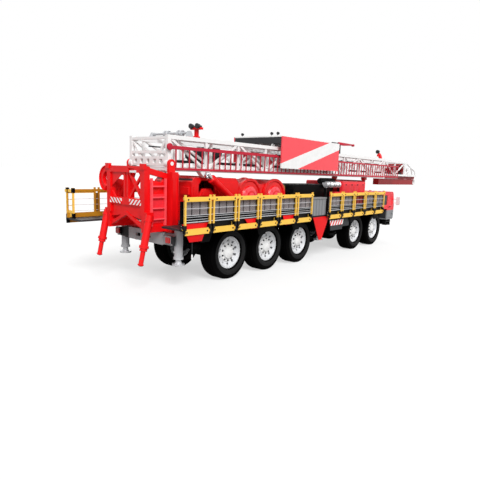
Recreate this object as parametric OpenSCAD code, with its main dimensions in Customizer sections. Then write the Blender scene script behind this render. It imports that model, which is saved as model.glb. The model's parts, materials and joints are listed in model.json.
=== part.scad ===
// Truck mounted workover rig, mast lying down for the road.
// Lengths are in millimetres. X points to the cab, Y to the left side, Z up from the ground.
// Along the machine, places are counted from the rearmost axle; place() moves the whole to the middle.

/* [Wheels and axles] */
// Outer radius of a tyre
tyre_r = 670; // [640:5:680]
// Width of a tyre
tyre_w = 470; // [430:5:480]
// Radius where the tyre sits on its rim
rim_r = 400; // [380:5:410]
// Distance from the centre line to the middle of a tyre
wheel_y = 895; // [890:5:920]
// Distance between neighbouring rear axles
rear_gap = 1550; // [1500:10:1650]
// Distance from the third axle to the fourth
mid_gap = 3680; // [3500:10:3900]
// Distance between the two steered axles
front_gap = 1575; // [1540:5:1650]
// Radius of the spindle that a wheel turns on
spindle_r = 90; // [70:5:100]
// Radius of an axle tube
beam_r = 105; // [90:5:120]
// Distance from the middle of a tyre in to its kingpin
king_in = 255; // [255:5:270]
// Radius of a kingpin
kingpin_r = 28; // [24:1:34]

/* [Chassis] */
// Distance from the centre line to the outer face of a chassis rail
rail_y = 400; // [370:5:405]
// Depth of a chassis rail
rail_h = 300; // [240:10:320]
// Height of the underside of a chassis rail
rail_z = 980; // [960:5:1000]
// Width of a chassis rail flange
rail_w = 90; // [70:5:100]
// Plate thickness of a chassis rail
rail_t = 14; // [10:1:20]
// Length of the chassis behind the rearmost axle
rear_overhang = 1750; // [1720:10:1800]
// Half the width of the front bumper
bumper_y = 1150; // [1100:10:1200]
// Radius of the shackle hole in a tow lug
lug_hole_r = 30; // [20:1:40]

/* [Deck and walkways] */
// Height of the deck's upper face
deck_z = 1450; // [1440:5:1480]
// Thickness of the deck
deck_t = 40; // [30:5:50]
// Distance from the centre line to the outer face of the deck's edge channel
deck_y = 1550; // [1520:10:1580]
// Height of an edge channel
edge_h = 150; // [130:10:180]
// Length of one railing bay
bay = 825; // [800:5:840]
// Height of a railing from its toe board to its top band
fence_h = 790; // [740:10:830]
// Width of a railing post
post_w = 40; // [30:5:50]
// Height of a folded grating panel
grate_h = 420; // [360:10:440]

/* [Cab] */
// Half the width of the cab
cab_y = 1250; // [1200:10:1280]
// Height of the cab roof
cab_z1 = 2080; // [2040:10:2120]
// Height of the cab's underside
cab_z0 = 960; // [940:10:1000]
// Distance from the front axle back to the cab's rear wall
cab_back = 35; // [10:5:60]
// Length of the cab
cab_len = 1560; // [1540:10:1620]
// Thickness of a cab wall or door
cab_t = 40; // [30:5:50]
// Gap between the front tyre and the cab's wheel arch
arch_gap = 195; // [180:5:210]
// Height of the window sills
sill_z = 1560; // [1520:10:1600]

/* [Mast] */
// Distance from the rearmost axle back to the pin that the mast tips on
pivot_back = 1620; // [1600:10:1640]
// Height of that pin over the lying mast's underside
pivot_up = 160; // [150:5:180]
// Radius of the mast's pivot pins
pivot_r = 45; // [40:1:55]
// Half the width of the lower mast section
mast_y = 700; // [680:5:710]
// Height of the lower section's underside
mast_z0 = 2620; // [2610:5:2640]
// Depth of the lower section
mast_h = 780; // [740:10:800]
// Side of a main mast tube
chord = 90; // [80:5:100]
// Length of the lower section
mast_len = 11580; // [11400:20:11700]
// How far the crown reaches past the lower section
crown_reach = 4550; // [4400:10:4600]
// Stroke of the upper mast section
mast_stroke = 9500; // [8000:100:9600]
// Length of the racking board
board_len = 3290; // [3000:10:3400]
// Height of the racking board's side walls
board_h = 900; // [860:10:920]

/* [Machinery] */
// Length of the drawworks housing
winch_len = 1650; // [1500:10:1680]
// Height of the top of the drawworks housing
winch_z = 2490; // [2440:10:2500]
// Half the width of the drawworks housing
winch_y = 680; // [640:10:690]
// Radius of the two round drum guards
guard_r = 520; // [480:10:530]
// Length of the radiator hood
hood_len = 1830; // [1700:10:1860]
// Height of the radiator hood
hood_z = 2450; // [2400:10:2470]
// Radius of the corrugated exhaust pipe
pipe_r = 85; // [60:5:95]

/* [Stands] */
// Distance from the third axle to the front levelling jacks
jack_ahead = 1280; // [1220:10:1340]
// Distance from the centre line to a levelling jack
jack_y = 1000; // [990:5:1020]
// Radius of a levelling jack's tube
jack_r = 95; // [80:5:100]
// Height of a levelling jack's pad when it is drawn up
jack_pad_z = 560; // [520:10:580]
// Slope of the mast base's screw legs, from upright
leg_lean = 12.5; // [10:0.5:15]
// Radius of a screw leg
leg_rod_r = 52; // [44:2:60]

/* [Hidden] */

// Clearances: a seated joint, a turning pin and a free moving gap
seat = 0.3;
pin_gap = 0.5;
gap = 10;
// Overlap that joins the pieces of one solid
weld = 1;
fine = 64;
left = 1;
right = -1;

// Axle places, counted from the rear
axle_x = [0, rear_gap, 2 * rear_gap, 2 * rear_gap + mid_gap, 2 * rear_gap + mid_gap + front_gap];
rear_axles = [0, 1, 2];
front_axles = [3, 4];
axle_3 = axle_x[2];
axle_4 = axle_x[3];
axle_5 = axle_x[4];

// Places that follow the axles and the mast's pivot
pivot_x = -pivot_back;
pivot_z = mast_z0 + pivot_up;
mast_x0 = pivot_x - 60;
mast_x1 = mast_x0 + mast_len;
mast_z1 = mast_z0 + mast_h;
crown_x1 = mast_x1 + crown_reach;
cab_x0 = axle_5 - cab_back;
cab_x1 = cab_x0 + cab_len;
arch_x1 = axle_5 + tyre_r + arch_gap;
chassis_x0 = -rear_overhang;
chassis_x1 = arch_x1 - 20;
walk_x0 = pivot_x - 400;
walk_x1 = cab_x0 - 310;
hood_x1 = cab_x0 - 240;
hood_x0 = hood_x1 - hood_len;
engine_x0 = axle_3 + 380;
engine_x1 = hood_x0 - 260;
winch_x0 = pivot_x + 670;
rear_jack_x = pivot_x + 20;
front_jack_x = axle_3 + jack_ahead;
jack_x = [rear_jack_x, front_jack_x];
kingpin_y = wheel_y - king_in;

// Railings: rear and front sections of each side as [rear end, number of bays]
fence_z0 = deck_z - 130;
fence_z1 = fence_z0 + fence_h;
fence_front = [walk_x1 - 5 * bay, 5];
fence_rear_x1 = walk_x0 + 6 * bay;
fence_right = [[walk_x0, 6], fence_front];
fence_left = [[walk_x0 - bay, 7], fence_front];
fence_y = deck_y + 52;
rear_x = walk_x0 - bay;

mid_x = (rear_x + crown_x1) / 2;
rail_top = rail_z + rail_h;
deck_under = deck_z - deck_t;
wheel_in = wheel_y - tyre_w / 2;

// Shared pieces

module place() { translate([-mid_x, 0, 0]) children(); }

// A box given by its lowest and highest corners
module box(lo, hi) { translate(lo) cube(hi - lo); }

module both_sides() {
    children();
    mirror([0, 1, 0]) children();
}

// A round bar along Y, from y0 to y1
module bar_y(x, z, r, y0, y1) {
    translate([x, y1, z]) rotate([90, 0, 0]) cylinder(r = r, h = y1 - y0, $fn = fine);
}

// A round form along X: profile points are [radius, distance ahead of x]
module turned_x(x, y, z, points) {
    translate([x, y, z]) rotate([0, 90, 0]) rotate_extrude($fn = fine) polygon(points);
}

// A round form about an axle: profile points are [radius, offset outwards]
module turned_y(points) {
    rotate([-90, 0, 0]) rotate_extrude($fn = fine) polygon(points);
}

// A square strut between two points
module strut(p, q, w) {
    d = q - p;
    len = norm(d);
    translate(p) rotate([0, acos(d.z / len), atan2(d.y, d.x)])
        translate([-w / 2, -w / 2, 0]) cube([w, w, len]);
}

// A plate in the XZ plane, drawn as [x, z] points, from y0 to y1
module side_plate(points, y0, y1) {
    translate([0, y1, 0]) rotate([90, 0, 0]) linear_extrude(y1 - y0) polygon(points);
}

// A plate across the machine, drawn as [y, z] points, from x0 to x1
module cross_plate(points, x0, x1) {
    translate([x0, 0, 0]) rotate([90, 0, 90]) linear_extrude(x1 - x0) polygon(points);
}

// Points of an arc about [x, z]
function arc(x, z, r, from, to, n = 6) =
    [for (k = [0 : n]) [x + r * cos(from + k * (to - from) / n), z + r * sin(from + k * (to - from) / n)]];

// A rectangle with four rounded corners
function rounded(x0, z0, x1, z1, r) = concat(
    arc(x1 - r, z1 - r, r, 0, 90), arc(x0 + r, z1 - r, r, 90, 180),
    arc(x0 + r, z0 + r, r, 180, 270), arc(x1 - r, z0 + r, r, 270, 360));

module scale_side(side) {
    if (side < 0) mirror([0, 1, 0]) children();
    else children();
}

module at_wheel(i, side) {
    translate([axle_x[i], side * wheel_y, tyre_r]) scale_side(side) children();
}

// Wheels

tyre_half = tyre_w / 2;
tyre_side = [[0, 62], [25, 22], [65, 6], [120, 0], [175, 8], [215, 24]];
module tyre(i, side) {
    inner = [for (p = tyre_side) [rim_r + p[0], -tyre_half + p[1]]];
    outer = [for (k = [len(tyre_side) - 1 : -1 : 0]) [rim_r + tyre_side[k][0], tyre_half - tyre_side[k][1]]];
    tread = [[tyre_r - 12, -tyre_half + 60], [tyre_r, -tyre_half + 110],
        [tyre_r, tyre_half - 110], [tyre_r - 12, tyre_half - 60]];
    color([0.09, 0.09, 0.09]) place() at_wheel(i, side) turned_y(concat(inner, tread, outer));
}

rim_t = 18;
rim_half = tyre_half - 60;
disc_y = 70;
disc_t = 22;
hub_r = 165;
hub_in = -120;
hub_bore = 140;
hub_out = 190;
hand_holes = 10;
hand_hole_r = 34;
hand_ring_r = 295;
module rim(i, side) {
    well_r = rim_r - rim_t;
    color([0.82, 0.83, 0.85]) place() at_wheel(i, side) difference() {
        turned_y([
            [spindle_r + pin_gap, hub_in], [hub_r - 25, hub_in], [hub_r, hub_in + 60],
            [hub_r, disc_y], [well_r - 30, disc_y + 40], [well_r - 30, -40], [well_r, -70],
            [well_r, -rim_half], [rim_r - seat, -rim_half], [rim_r - seat, rim_half],
            [well_r - 6, rim_half], [well_r - 22, rim_half - 30], [well_r - 22, disc_y + 60 + disc_t],
            [hub_r + 60, disc_y + disc_t], [hub_r + 30, disc_y + disc_t + 20], [hub_r, disc_y + disc_t + 20],
            [hub_r, hub_out - 50], [hub_r - 25, hub_out - 20], [hub_r - 60, hub_out - 12],
            [hub_r - 75, hub_out], [0, hub_out], [0, hub_bore], [spindle_r + pin_gap, hub_bore]
        ]);
        for (k = [0 : hand_holes - 1]) rotate([0, (k + 0.5) * 360 / hand_holes, 0])
            bar_y(hand_ring_r, 0, hand_hole_r, disc_y - 60, disc_y + 120);
    }
}

// Axles

spindle_end = hub_bore - 5;
drum_r = 230;
drum_out = hub_in - 8;
drum_w = 110;
diff_r = 215;
diff_y = 120;
taper_y = 260;
fork_z = 120;
fork_in = 110;
ear_t = 45;
ear_r = 68;
shaft_r = 48;
yoke_r = 78;
// Transfer case between the third and fourth axles
case_x = axle_3 + 1750;
case_half = 260;

// The bulged middle of a driven axle
module differential(x) {
    translate([x, 0, tyre_r]) rotate([90, 0, 0]) rotate_extrude($fn = fine) polygon([
        [0, -taper_y], [beam_r, -taper_y], [diff_r, -diff_y],
        [diff_r, diff_y], [beam_r, taper_y], [0, taper_y]
    ]);
}

// A leaf spring as half lengths of its leaves, longest first
leaves = [560, 480, 400, 320, 240, 160];
leaf_t = 15;
spring_y = [rail_y - 95, rail_y - 15];
module leaf_spring(x) {
    ends = rail_z - 45;
    sag = 50;
    function under(s) = ends - sag + sag * s / leaves[0];
    half = [for (k = [1 : len(leaves) - 1]) each
        [[leaves[k], under(leaves[k]) - k * leaf_t], [leaves[k], under(leaves[k]) - (k + 1) * leaf_t]]];
    low = ends - sag - len(leaves) * leaf_t;
    n = len(half);
    side_plate(concat(
        [[x - leaves[0], ends + 12], [x - leaves[0], ends - leaf_t]],
        [for (p = half) [x - p[0], p[1]]],
        [[x - 60, low], [x + 60, low]],
        [for (k = [n - 1 : -1 : 0]) [x + half[k][0], half[k][1]]],
        [[x + leaves[0], ends - leaf_t], [x + leaves[0], ends + 12], [x + 60, ends - sag + 20],
        [x - 60, ends - sag + 20]]
    ), spring_y[0], spring_y[1]);
    // hangers under the rail, seat on the axle and the clamp over it
    for (s = [-1, 1])
        box([x + s * 530 - 30, spring_y[0], ends - leaf_t + 2], [x + s * 530 + 30, spring_y[1], rail_z]);
    box([x - 85, spring_y[0] - 12, tyre_r + beam_r - 30], [x + 85, spring_y[1] + 12, low + 2]);
    box([x - 70, spring_y[0] - 8, ends - sag + 10], [x + 70, spring_y[1] + 8, ends - sag + 40]);
    for (s = [-1, 1])
        box([x + s * 62 - 9, spring_y[0] - 10, low], [x + s * 62 + 9, spring_y[1] + 10, ends - sag + 30]);
}

// A propeller shaft with a joint at each end, in line with the axles
module shaft(x0, x1) {
    turned_x(x0, 0, tyre_r, [
        [0, 0], [yoke_r, 0], [yoke_r, 30], [shaft_r, 90], [shaft_r, x1 - x0 - 90],
        [yoke_r, x1 - x0 - 30], [yoke_r, x1 - x0], [0, x1 - x0]
    ]);
}

module axle_beams() {
    color([0.13, 0.13, 0.14]) place() union() {
        for (x = axle_x) differential(x);
        both_sides() for (x = axle_x) leaf_spring(x);
        for (i = rear_axles) {
            bar_y(axle_x[i], tyre_r, beam_r, -wheel_in, wheel_in);
            bar_y(axle_x[i], tyre_r, spindle_r, -wheel_y - spindle_end, wheel_y + spindle_end);
            both_sides() bar_y(axle_x[i], tyre_r, drum_r, wheel_y + drum_out - drum_w, wheel_y + drum_out);
        }
        for (i = front_axles) {
            bar_y(axle_x[i], tyre_r, beam_r, -kingpin_y + fork_in, kingpin_y - fork_in);
            both_sides() fork_end(axle_x[i]);
        }
        for (i = [0, 1, 3]) shaft(axle_x[i] + diff_r - 30, axle_x[i + 1] - diff_r + 30);
        shaft(axle_3 + diff_r - 30, case_x - case_half);
        shaft(case_x + case_half, axle_4 - diff_r + 30);
    }
}

// Fork at the end of a steered axle, with its kingpin
module fork_end(x) {
    z0 = tyre_r - fork_z - ear_t;
    z1 = tyre_r + fork_z + ear_t;
    back = kingpin_y - fork_in;
    box([x - 60, back - 40, z0], [x + 60, back, z1]);
    for (z = [z0, z1 - ear_t]) {
        box([x - 60, back - weld, z], [x + 60, kingpin_y, z + ear_t]);
        translate([x, kingpin_y, z]) cylinder(r = ear_r, h = ear_t, $fn = fine);
    }
    translate([x, kingpin_y, z0]) cylinder(r = kingpin_r, h = z1 - z0, $fn = fine);
}

module knuckle(i, side) {
    color([0.2, 0.2, 0.21]) place() translate([axle_x[i], 0, tyre_r]) scale_side(side)
    difference() {
        union() {
            translate([0, kingpin_y, -fork_z + 1])
                cylinder(r = ear_r - 8, h = 2 * fork_z - 2, $fn = fine);
            bar_y(0, 0, spindle_r, kingpin_y, wheel_y + spindle_end);
            bar_y(0, 0, drum_r, wheel_y + drum_out - 50, wheel_y + drum_out);
        }
        translate([0, kingpin_y, -fork_z]) cylinder(r = kingpin_r + pin_gap, h = 2 * fork_z, $fn = fine);
    }
}

// Chassis

cross_x = [chassis_x0 + 250, -700, rear_gap / 2, 1.5 * rear_gap, front_jack_x - 380, case_x + 500,
    axle_4 - 600, (axle_4 + axle_5) / 2, chassis_x1 - 100];
bumper_x0 = cab_x1 - 140;
bumper_x1 = bumper_x0 + 110;
bumper_z0 = 700;
bumper_z1 = 940;
lug_t = 40;
lug_y = 380;
lug_r = 70;
lug_x = bumper_x1 + 95;
lug_z = 820;

module chassis_rail() {
    y0 = rail_y - rail_w;
    difference() {
        box([chassis_x0, y0, rail_z], [chassis_x1, rail_y, rail_top]);
        box([chassis_x0 - weld, y0 - weld, rail_z + rail_t],
            [chassis_x1 + weld, rail_y - rail_t, rail_top - rail_t]);
    }
}

module tow_lug() {
    difference() {
        union() {
            bar_y(lug_x, lug_z, lug_r, lug_y - lug_t / 2, lug_y + lug_t / 2);
            box([bumper_x1 - weld, lug_y - lug_t / 2, lug_z - lug_r],
                [lug_x, lug_y + lug_t / 2, lug_z + lug_r]);
        }
        bar_y(lug_x, lug_z, lug_hole_r, lug_y - lug_t, lug_y + lug_t);
    }
}

// Cross member: two flanges joined by a web
module cross_member(x) {
    y = rail_y - rail_t / 2;
    for (z = [rail_z + 60, rail_top - 75]) box([x - 60, -y, z], [x + 60, y, z + 15]);
    box([x - 8, -y, rail_z + 74], [x + 8, y, rail_top - 74]);
}

module chassis_frame() {
    drop = bumper_z0 + 40;
    color([0.16, 0.16, 0.17]) place() union() {
        both_sides() {
            chassis_rail();
            tow_lug();
            // dropped beams under the cab, on to the bumper
            box([chassis_x1 - 160, rail_y - rail_w, drop], [chassis_x1, rail_y, rail_z + 20]);
            box([chassis_x1 - weld, rail_y - rail_w, drop], [bumper_x0 + weld, rail_y, cab_z0 - seat]);
        }
        for (x = cross_x) cross_member(x);
        side_plate([
            [bumper_x0, bumper_z0], [bumper_x1 - 30, bumper_z0], [bumper_x1, bumper_z0 + 40],
            [bumper_x1, bumper_z1 - 40], [bumper_x1 - 30, bumper_z1], [bumper_x0, bumper_z1]
        ], -bumper_y, bumper_y);
        // transfer case on a bar between the rails
        side_plate([
            [case_x - case_half, 560], [case_x + case_half, 560], [case_x + case_half, 760],
            [case_x + 120, 900], [case_x + 120, rail_z + 40], [case_x - 120, rail_z + 40],
            [case_x - 120, 900], [case_x - case_half, 760]
        ], -180, 180);
        box([case_x - 90, -rail_y + rail_t / 2, rail_z + 5], [case_x + 90, rail_y - rail_t / 2, rail_z + 60]);
    }
}

// Deck and walkways

deck_x0 = winch_x0 - 450;
deck_x1 = walk_x1;
edge_t = 50;
stringer_h = 30;
stringer_y = [560, 1150, 1380];
arm_x = [deck_x0 + 150, rear_gap / 2, 1.5 * rear_gap, axle_4 - 1080, (axle_4 + axle_5) / 2];

module edge_channel(x0, x1) {
    z0 = deck_under;
    difference() {
        box([x0, deck_y - edge_t, z0], [x1, deck_y, z0 + edge_h]);
        box([x0 + 20, deck_y - edge_t + 10, z0 + 14], [x1 - 20, deck_y + weld, z0 + edge_h - 14]);
    }
}

module deck() {
    inner = deck_y - edge_t + weld;
    strip = column_y[1] + 30;
    color([0.72, 0.72, 0.74]) place() union() {
        box([deck_x0, -inner, deck_under], [deck_x1, inner, deck_z]);
        raise_brackets();
        for (s = fence_left) edge_channel(s[0], s[0] + s[1] * bay);
        for (s = fence_right) mirror([0, 1, 0]) edge_channel(s[0], s[0] + s[1] * bay);
        box([rear_x + 10, strip, deck_under], [deck_x0 + weld, inner, deck_z]);
        box([walk_x0 + 10, -inner, deck_under], [deck_x0 + weld, -strip, deck_z]);
        // packers on the rails, and stringers under the walkways
        for (x = [deck_x0 + 300, deck_x0 + 1900, engine_x0 + 220, hood_x0 + 250]) both_sides()
            box([x, rail_y - rail_w, rail_top], [x + 700, rail_y, deck_under + weld]);
        both_sides() for (y = stringer_y)
            box([deck_x0 + 60, y, deck_under - stringer_h], [deck_x1 - 60, y + 50, deck_under + weld]);
    }
}

// Brackets under the walkways: an arm from the rail and a plate that narrows downwards
module walkway_brackets() {
    arm_t = 60;
    top_half = 270;
    low_half = 130;
    low_z = deck_under - 300;
    face = deck_y - 85;
    color([0.85, 0.05, 0.05]) place() both_sides() for (x = arm_x) union() {
        translate([x + arm_t / 2, 0, 0]) rotate([0, 0, 90]) side_plate([
            [rail_y, rail_top - 10], [rail_y, rail_top - 170], [deck_y - 80, deck_under - 70],
            [deck_y - 80, deck_under - stringer_h - seat],
            [rail_y + 20, deck_under - stringer_h - seat], [rail_y + 20, rail_top - 10]
        ], 0, arm_t);
        side_plate([
            [x - top_half, deck_under], [x - low_half, low_z],
            [x + low_half, low_z], [x + top_half, deck_under]
        ], face, face + 12);
        side_plate([
            [x - top_half + 60, deck_under - 40], [x - low_half + 30, low_z + 40],
            [x + low_half - 30, low_z + 40], [x + top_half - 60, deck_under - 40]
        ], face + 11, face + 18);
    }
}

// One folded grating panel: a frame with upright bars over a closed lower strip
grate_bars = 9;
module grating_panel(x0, x1) {
    y0 = deck_y - 42;
    t = 24;
    rim = 30;
    z0 = deck_under + edge_h;
    z1 = z0 + grate_h;
    step = (x1 - x0 - 2 * rim) / grate_bars;
    union() {
        difference() {
            box([x0, y0, z0], [x1, y0 + t, z1]);
            box([x0 + rim, y0 - weld, z0 + rim], [x1 - rim, y0 + t + weld, z1 - rim]);
        }
        for (k = [1 : grate_bars - 1]) box([x0 + rim + k * step - 9, y0 + 2, z0 + 20],
            [x0 + rim + k * step + 9, y0 + t - 2, z1 - 20]);
        box([x0 + 10, y0 + 4, z0 + 10], [x1 - 10, y0 + t - 4, z0 + 0.38 * grate_h]);
    }
}

module grating_run(s) {
    for (k = [0 : s[1] - 1])
        grating_panel(s[0] + k * bay + (k > 0 ? 30 : 110), s[0] + (k + 1) * bay - 30);
}

// The left rear run has none, so the crew can step off it
module gratings() {
    color([0.55, 0.53, 0.53]) place() {
        grating_run(fence_front);
        for (s = fence_right) mirror([0, 1, 0]) grating_run(s);
    }
}

// One run of railing: paired posts, top band, wires and toe board
post_off = 55;
wire_w = 10;
wire_rise = 140;
module railing_run(x0, bays) {
    x1 = x0 + bays * bay;
    y = fence_y;
    h = post_w / 2;
    toe = fence_z0 + 130;
    union() {
        for (k = [0 : bays]) for (s = [-1, 1]) {
            x = x0 + k * bay + s * post_off;
            if ((k > 0 || s > 0) && (k < bays || s < 0)) {
                box([x - h, y - h, fence_z0 + 40], [x + h, y + h, fence_z1 + 45]);
                box([x - h - 8, deck_y - edge_t + 10, deck_under + 20],
                    [x + h + 8, y + h + 6, deck_under + 120]);
            }
        }
        for (k = [1 : bays - 1])
            box([x0 + k * bay - post_off, y - 6, toe + 90], [x0 + k * bay + post_off, y + 2, fence_z1 - 90]);
        box([x0 + 10, y - 14, fence_z1 - 60], [x1 - 10, y + h + 6, fence_z1]);
        side_plate([
            [x0 + 10, fence_z0 + 60], [x0 + 50, fence_z0], [x1 - 50, fence_z0], [x1 - 10, fence_z0 + 60],
            [x1 - 10, toe], [x0 + 10, toe]
        ], y - h, y - h + 14);
        for (n = [1, 2, 3]) box([x0 + 30, y - wire_w / 2, toe + n * wire_rise],
            [x1 - 30, y + wire_w / 2, toe + n * wire_rise + wire_w]);
    }
}

module railings() {
    ret = 280;
    x = rear_x + 65;
    y = fence_y - ret;
    color([0.98, 0.8, 0.3]) place() {
        for (s = fence_right) mirror([0, 1, 0]) railing_run(s[0], s[1]);
        railing_run(fence_left[1][0], fence_left[1][1]);
        // the long run on the left side, with its return across the rear end
        union() {
            railing_run(fence_left[0][0], fence_left[0][1]);
            box([x - 20, y, fence_z1 - 60], [x + 20, fence_y, fence_z1]);
            box([x - 20, y, deck_under + edge_h + 5], [x + 20, fence_y, deck_under + edge_h + 65]);
            box([x - 20, y, deck_z], [x + 20, y + post_w, fence_z1 + 45]);
            for (n = [2, 3]) box([x - wire_w / 2, y, fence_z0 + 130 + n * wire_rise],
                [x + wire_w / 2, fence_y, fence_z0 + 130 + n * wire_rise + wire_w]);
        }
    }
}

// Rear bumper: a plate on the rail ends with lamp carriers at both sides
module rear_bumper() {
    x0 = chassis_x0 - 60;
    out = 1040;
    color([0.75, 0.75, 0.77]) place() union() {
        difference() {
            box([x0, -rail_y - 300, 1000], [chassis_x0, rail_y + 300, 1270]);
            for (y = [-190, 190]) side_slot(x0, y);
        }
        both_sides() {
            box([x0 + 5, rail_y + 250, 1020], [x0 + 90, out, 1220]);
            cross_plate(rounded(860, 1060, out, 1230, 25), x0 - 40, x0 + 6);
        }
    }
}

// An oblong hole through the bumper plate
module side_slot(x, y) {
    cross_plate(rounded(y - 90, 1090, y + 90, 1170, 38), x - weld, x + 61);
}

// Ribbed cabinets between the walkways, and lockers under the deck
module side_boxes() {
    x0 = fence_rear_x1 + 40;
    x1 = fence_front[0] - 40;
    ribs = 6;
    pitch = (x1 - x0 - 70) / (ribs - 1);
    lock_x0 = front_jack_x + 520;
    lock_x1 = lock_x0 + 700;
    face = deck_y - 120;
    color([0.6, 0.6, 0.62]) place() both_sides() {
        union() {
            box([x0, deck_y - 250, deck_z], [x1, deck_y - 60, deck_z + 520]);
            for (k = [0 : ribs - 1]) box([x0 + 20 + k * pitch, deck_y - 61, deck_z + 20],
                [x0 + 50 + k * pitch, deck_y - 40, deck_z + 500]);
            box([x0 - 12, deck_y - 262, deck_z + 500], [x1 + 12, deck_y - 30, deck_z + 535]);
        }
        union() {
            side_plate(rounded(lock_x0, rail_z + 20, lock_x1, deck_under - 40, 30), 500, face);
            for (k = [0, 1]) side_plate(rounded(lock_x0 + 25 + k * 330, rail_z + 60, lock_x0 + 345 + k * 330,
                deck_under - 160, 20), face - weld, face + 12);
            box([lock_x0 - 10, 550, deck_under - 70], [lock_x1 + 10, face - 20, deck_under - stringer_h]);
        }
    }
}

// Stands

jack_top = deck_z - 50;
jack_low = 700;
jack_rod_r = 62;
pad_r = 140;
pad_t = 40;

module jack_housings() {
    color([0.85, 0.05, 0.05]) place() both_sides() for (x = jack_x) difference() {
        union() {
            translate([x, jack_y, jack_low]) cylinder(r = jack_r, h = jack_top - jack_low, $fn = fine);
            translate([x, jack_y, jack_low]) cylinder(r = jack_r + 16, h = 50, $fn = fine);
            box([x - 70, rail_y, rail_z + 40], [x + 70, jack_y, rail_top - 20]);
            if (x == front_jack_x) {
                box([x - 50, jack_y, rail_z + 60], [x + 50, shield_y + 1, rail_top - 40]);
                side_guard(x);
            }
        }
        translate([x, jack_y, jack_low - weld])
            cylinder(r = jack_rod_r + pin_gap, h = jack_top - jack_low - 30, $fn = fine);
    }
    color([0.85, 0.05, 0.05]) place() both_sides()
        front_shield((fence_rear_x1 + fence_front[0]) / 2 + shield_ahead);
}

// Plates that hang outside the lockers and below the cabinets
shield_y = deck_y - 70;
shield_low = 700;
shield_ahead = 235;

guard_z = [930, 1250];
guard_x = [-190, 690];
module side_guard(x) {
    side_plate([
        [x + guard_x[0], guard_z[1]], [x + guard_x[1], guard_z[1]],
        [x + guard_x[1] - 60, guard_z[0]], [x + guard_x[0] + 60, guard_z[0]]
    ], shield_y, shield_y + 14);
    for (s = [x + guard_x[0] + 20, x + guard_x[1] - 70])
        box([s, shield_y, guard_z[1] - 1], [s + 50, shield_y + 10, deck_under]);
}

module front_shield(x) {
    for (s = [-250, 230])
        box([x + s, deck_y - 110, deck_under - 110], [x + s + 20, shield_y + 1, deck_under]);
    side_plate([[x - 470, deck_under], [x - 75, shield_low], [x + 75, shield_low], [x + 470, deck_under]],
        shield_y, shield_y + 14);
}

module jack(x, side) {
    color([0.78, 0.78, 0.8]) place() scale_side(side) translate([x, jack_y, jack_pad_z]) union() {
        cylinder(r = jack_rod_r, h = jack_top - 60 - jack_pad_z, $fn = fine);
        cylinder(r = pad_r, h = pad_t, $fn = fine);
        cylinder(r = jack_rod_r + 18, h = pad_t + 30, $fn = fine);
    }
}

// Mast base: a portal behind two pivot columns, with screw legs

portal_x0 = pivot_x - 680;
portal_x1 = portal_x0 + 140;
portal_z0 = 1560;
portal_z1 = mast_z0 + 80;
portal_y = mast_y;
portal_w = 140;
sill_z0 = 1850;
sill_z1 = 2010;
column_x = [pivot_x - 90, pivot_x + 90];
column_y = [mast_y + 15, mast_y + 185];
column_z1 = mast_z0 - 20;
lug_plate = 60;
hinge_r = 95;
mast_foot = mast_z1 - pivot_z;
leg_y = 790;
leg_top = [portal_x0 + 70, leg_y, 1680];
leg_tube_r = 80;
leg_tube_len = 760;
leg_len = 1090;
brace = 60;

module leg_frame() {
    translate(leg_top) rotate([0, 180 + leg_lean, 0]) children();
}

module mast_base() {
    color([1, 0, 0]) place() difference() {
        union() {
            portal();
            both_sides() {
                side_frame();
                pivot_column();
                leg_tube();
                rear_steps();
            }
            box([column_x[0], -column_y[1] + 1, rail_top], [column_x[1], column_y[1] - 1, rail_top + 140]);
            horn();
        }
        both_sides() {
            leg_frame() translate([0, 0, 20])
                cylinder(r = leg_rod_r + pin_gap, h = leg_tube_len, $fn = fine);
            bar_y(pivot_x, pivot_z, pivot_r, mast_y + 5, column_y[1] + 1);
        }
    }
}

// Portal: columns, beams, lower plate with a shallow inverted V, posts and braces
module portal() {
    x = portal_x0 + 70;
    inner = portal_y - portal_w;
    low = portal_z1 - 140;
    difference() {
        box([portal_x0, -portal_y, low], [portal_x1, portal_y, portal_z1]);
        box([portal_x0 - weld, -340, low + 45], [portal_x0 + 30, -130, low + 95]);
    }
    box([portal_x0 + 20, -portal_y + 1, sill_z0], [portal_x1, portal_y - 1, sill_z1]);
    cross_plate([
        [-portal_y, sill_z0 + 1], [portal_y, sill_z0 + 1], [portal_y, portal_z0], [portal_y - 120, portal_z0],
        [0, portal_z0 + 90], [-portal_y + 120, portal_z0], [-portal_y, portal_z0]
    ], portal_x0 + 50, portal_x0 + 130);
    both_sides() {
        box([portal_x0, inner, portal_z0 + 100], [portal_x1, portal_y, portal_z1]);
        // end caps, hazard plates and the legs' cross braces
        box([portal_x0 - 30, inner + 15, portal_z1 - 70],
            [pivot_x - mast_foot - 15, portal_y + 15, portal_z1 + 50]);
        box([portal_x0 + 8, 150, sill_z0 + 18], [portal_x0 + 21, inner + 20, sill_z1 - 18]);
        strut([x, 0, portal_z0 + 110], [x, leg_y - 60, 1330], 70);
        box([x - 40, 20, sill_z1 - 10], [x + 40, 90, low + 1]);
        cross_plate([[inner + 1, low + 1], [inner + 1, low - 180], [inner - 120, low + 1]], x - 20, x + 20);
        cross_plate([
            [inner + 1, sill_z1 - 1], [inner + 1, sill_z1 + 130], [inner - 110, sill_z1 - 1]
        ], x - 20, x + 20);
    }
    strut([x, -80, low + 20], [x, -inner - 10, sill_z1 - 20], brace);
    strut([x + 2, -inner - 10, low + 20], [x + 2, -80, sill_z1 - 20], brace - 8);
    cross_plate([[inner + 1, low + 1], [inner + 1, low - 330], [90, low + 1]], x - 34, x - 21);
}

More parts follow.
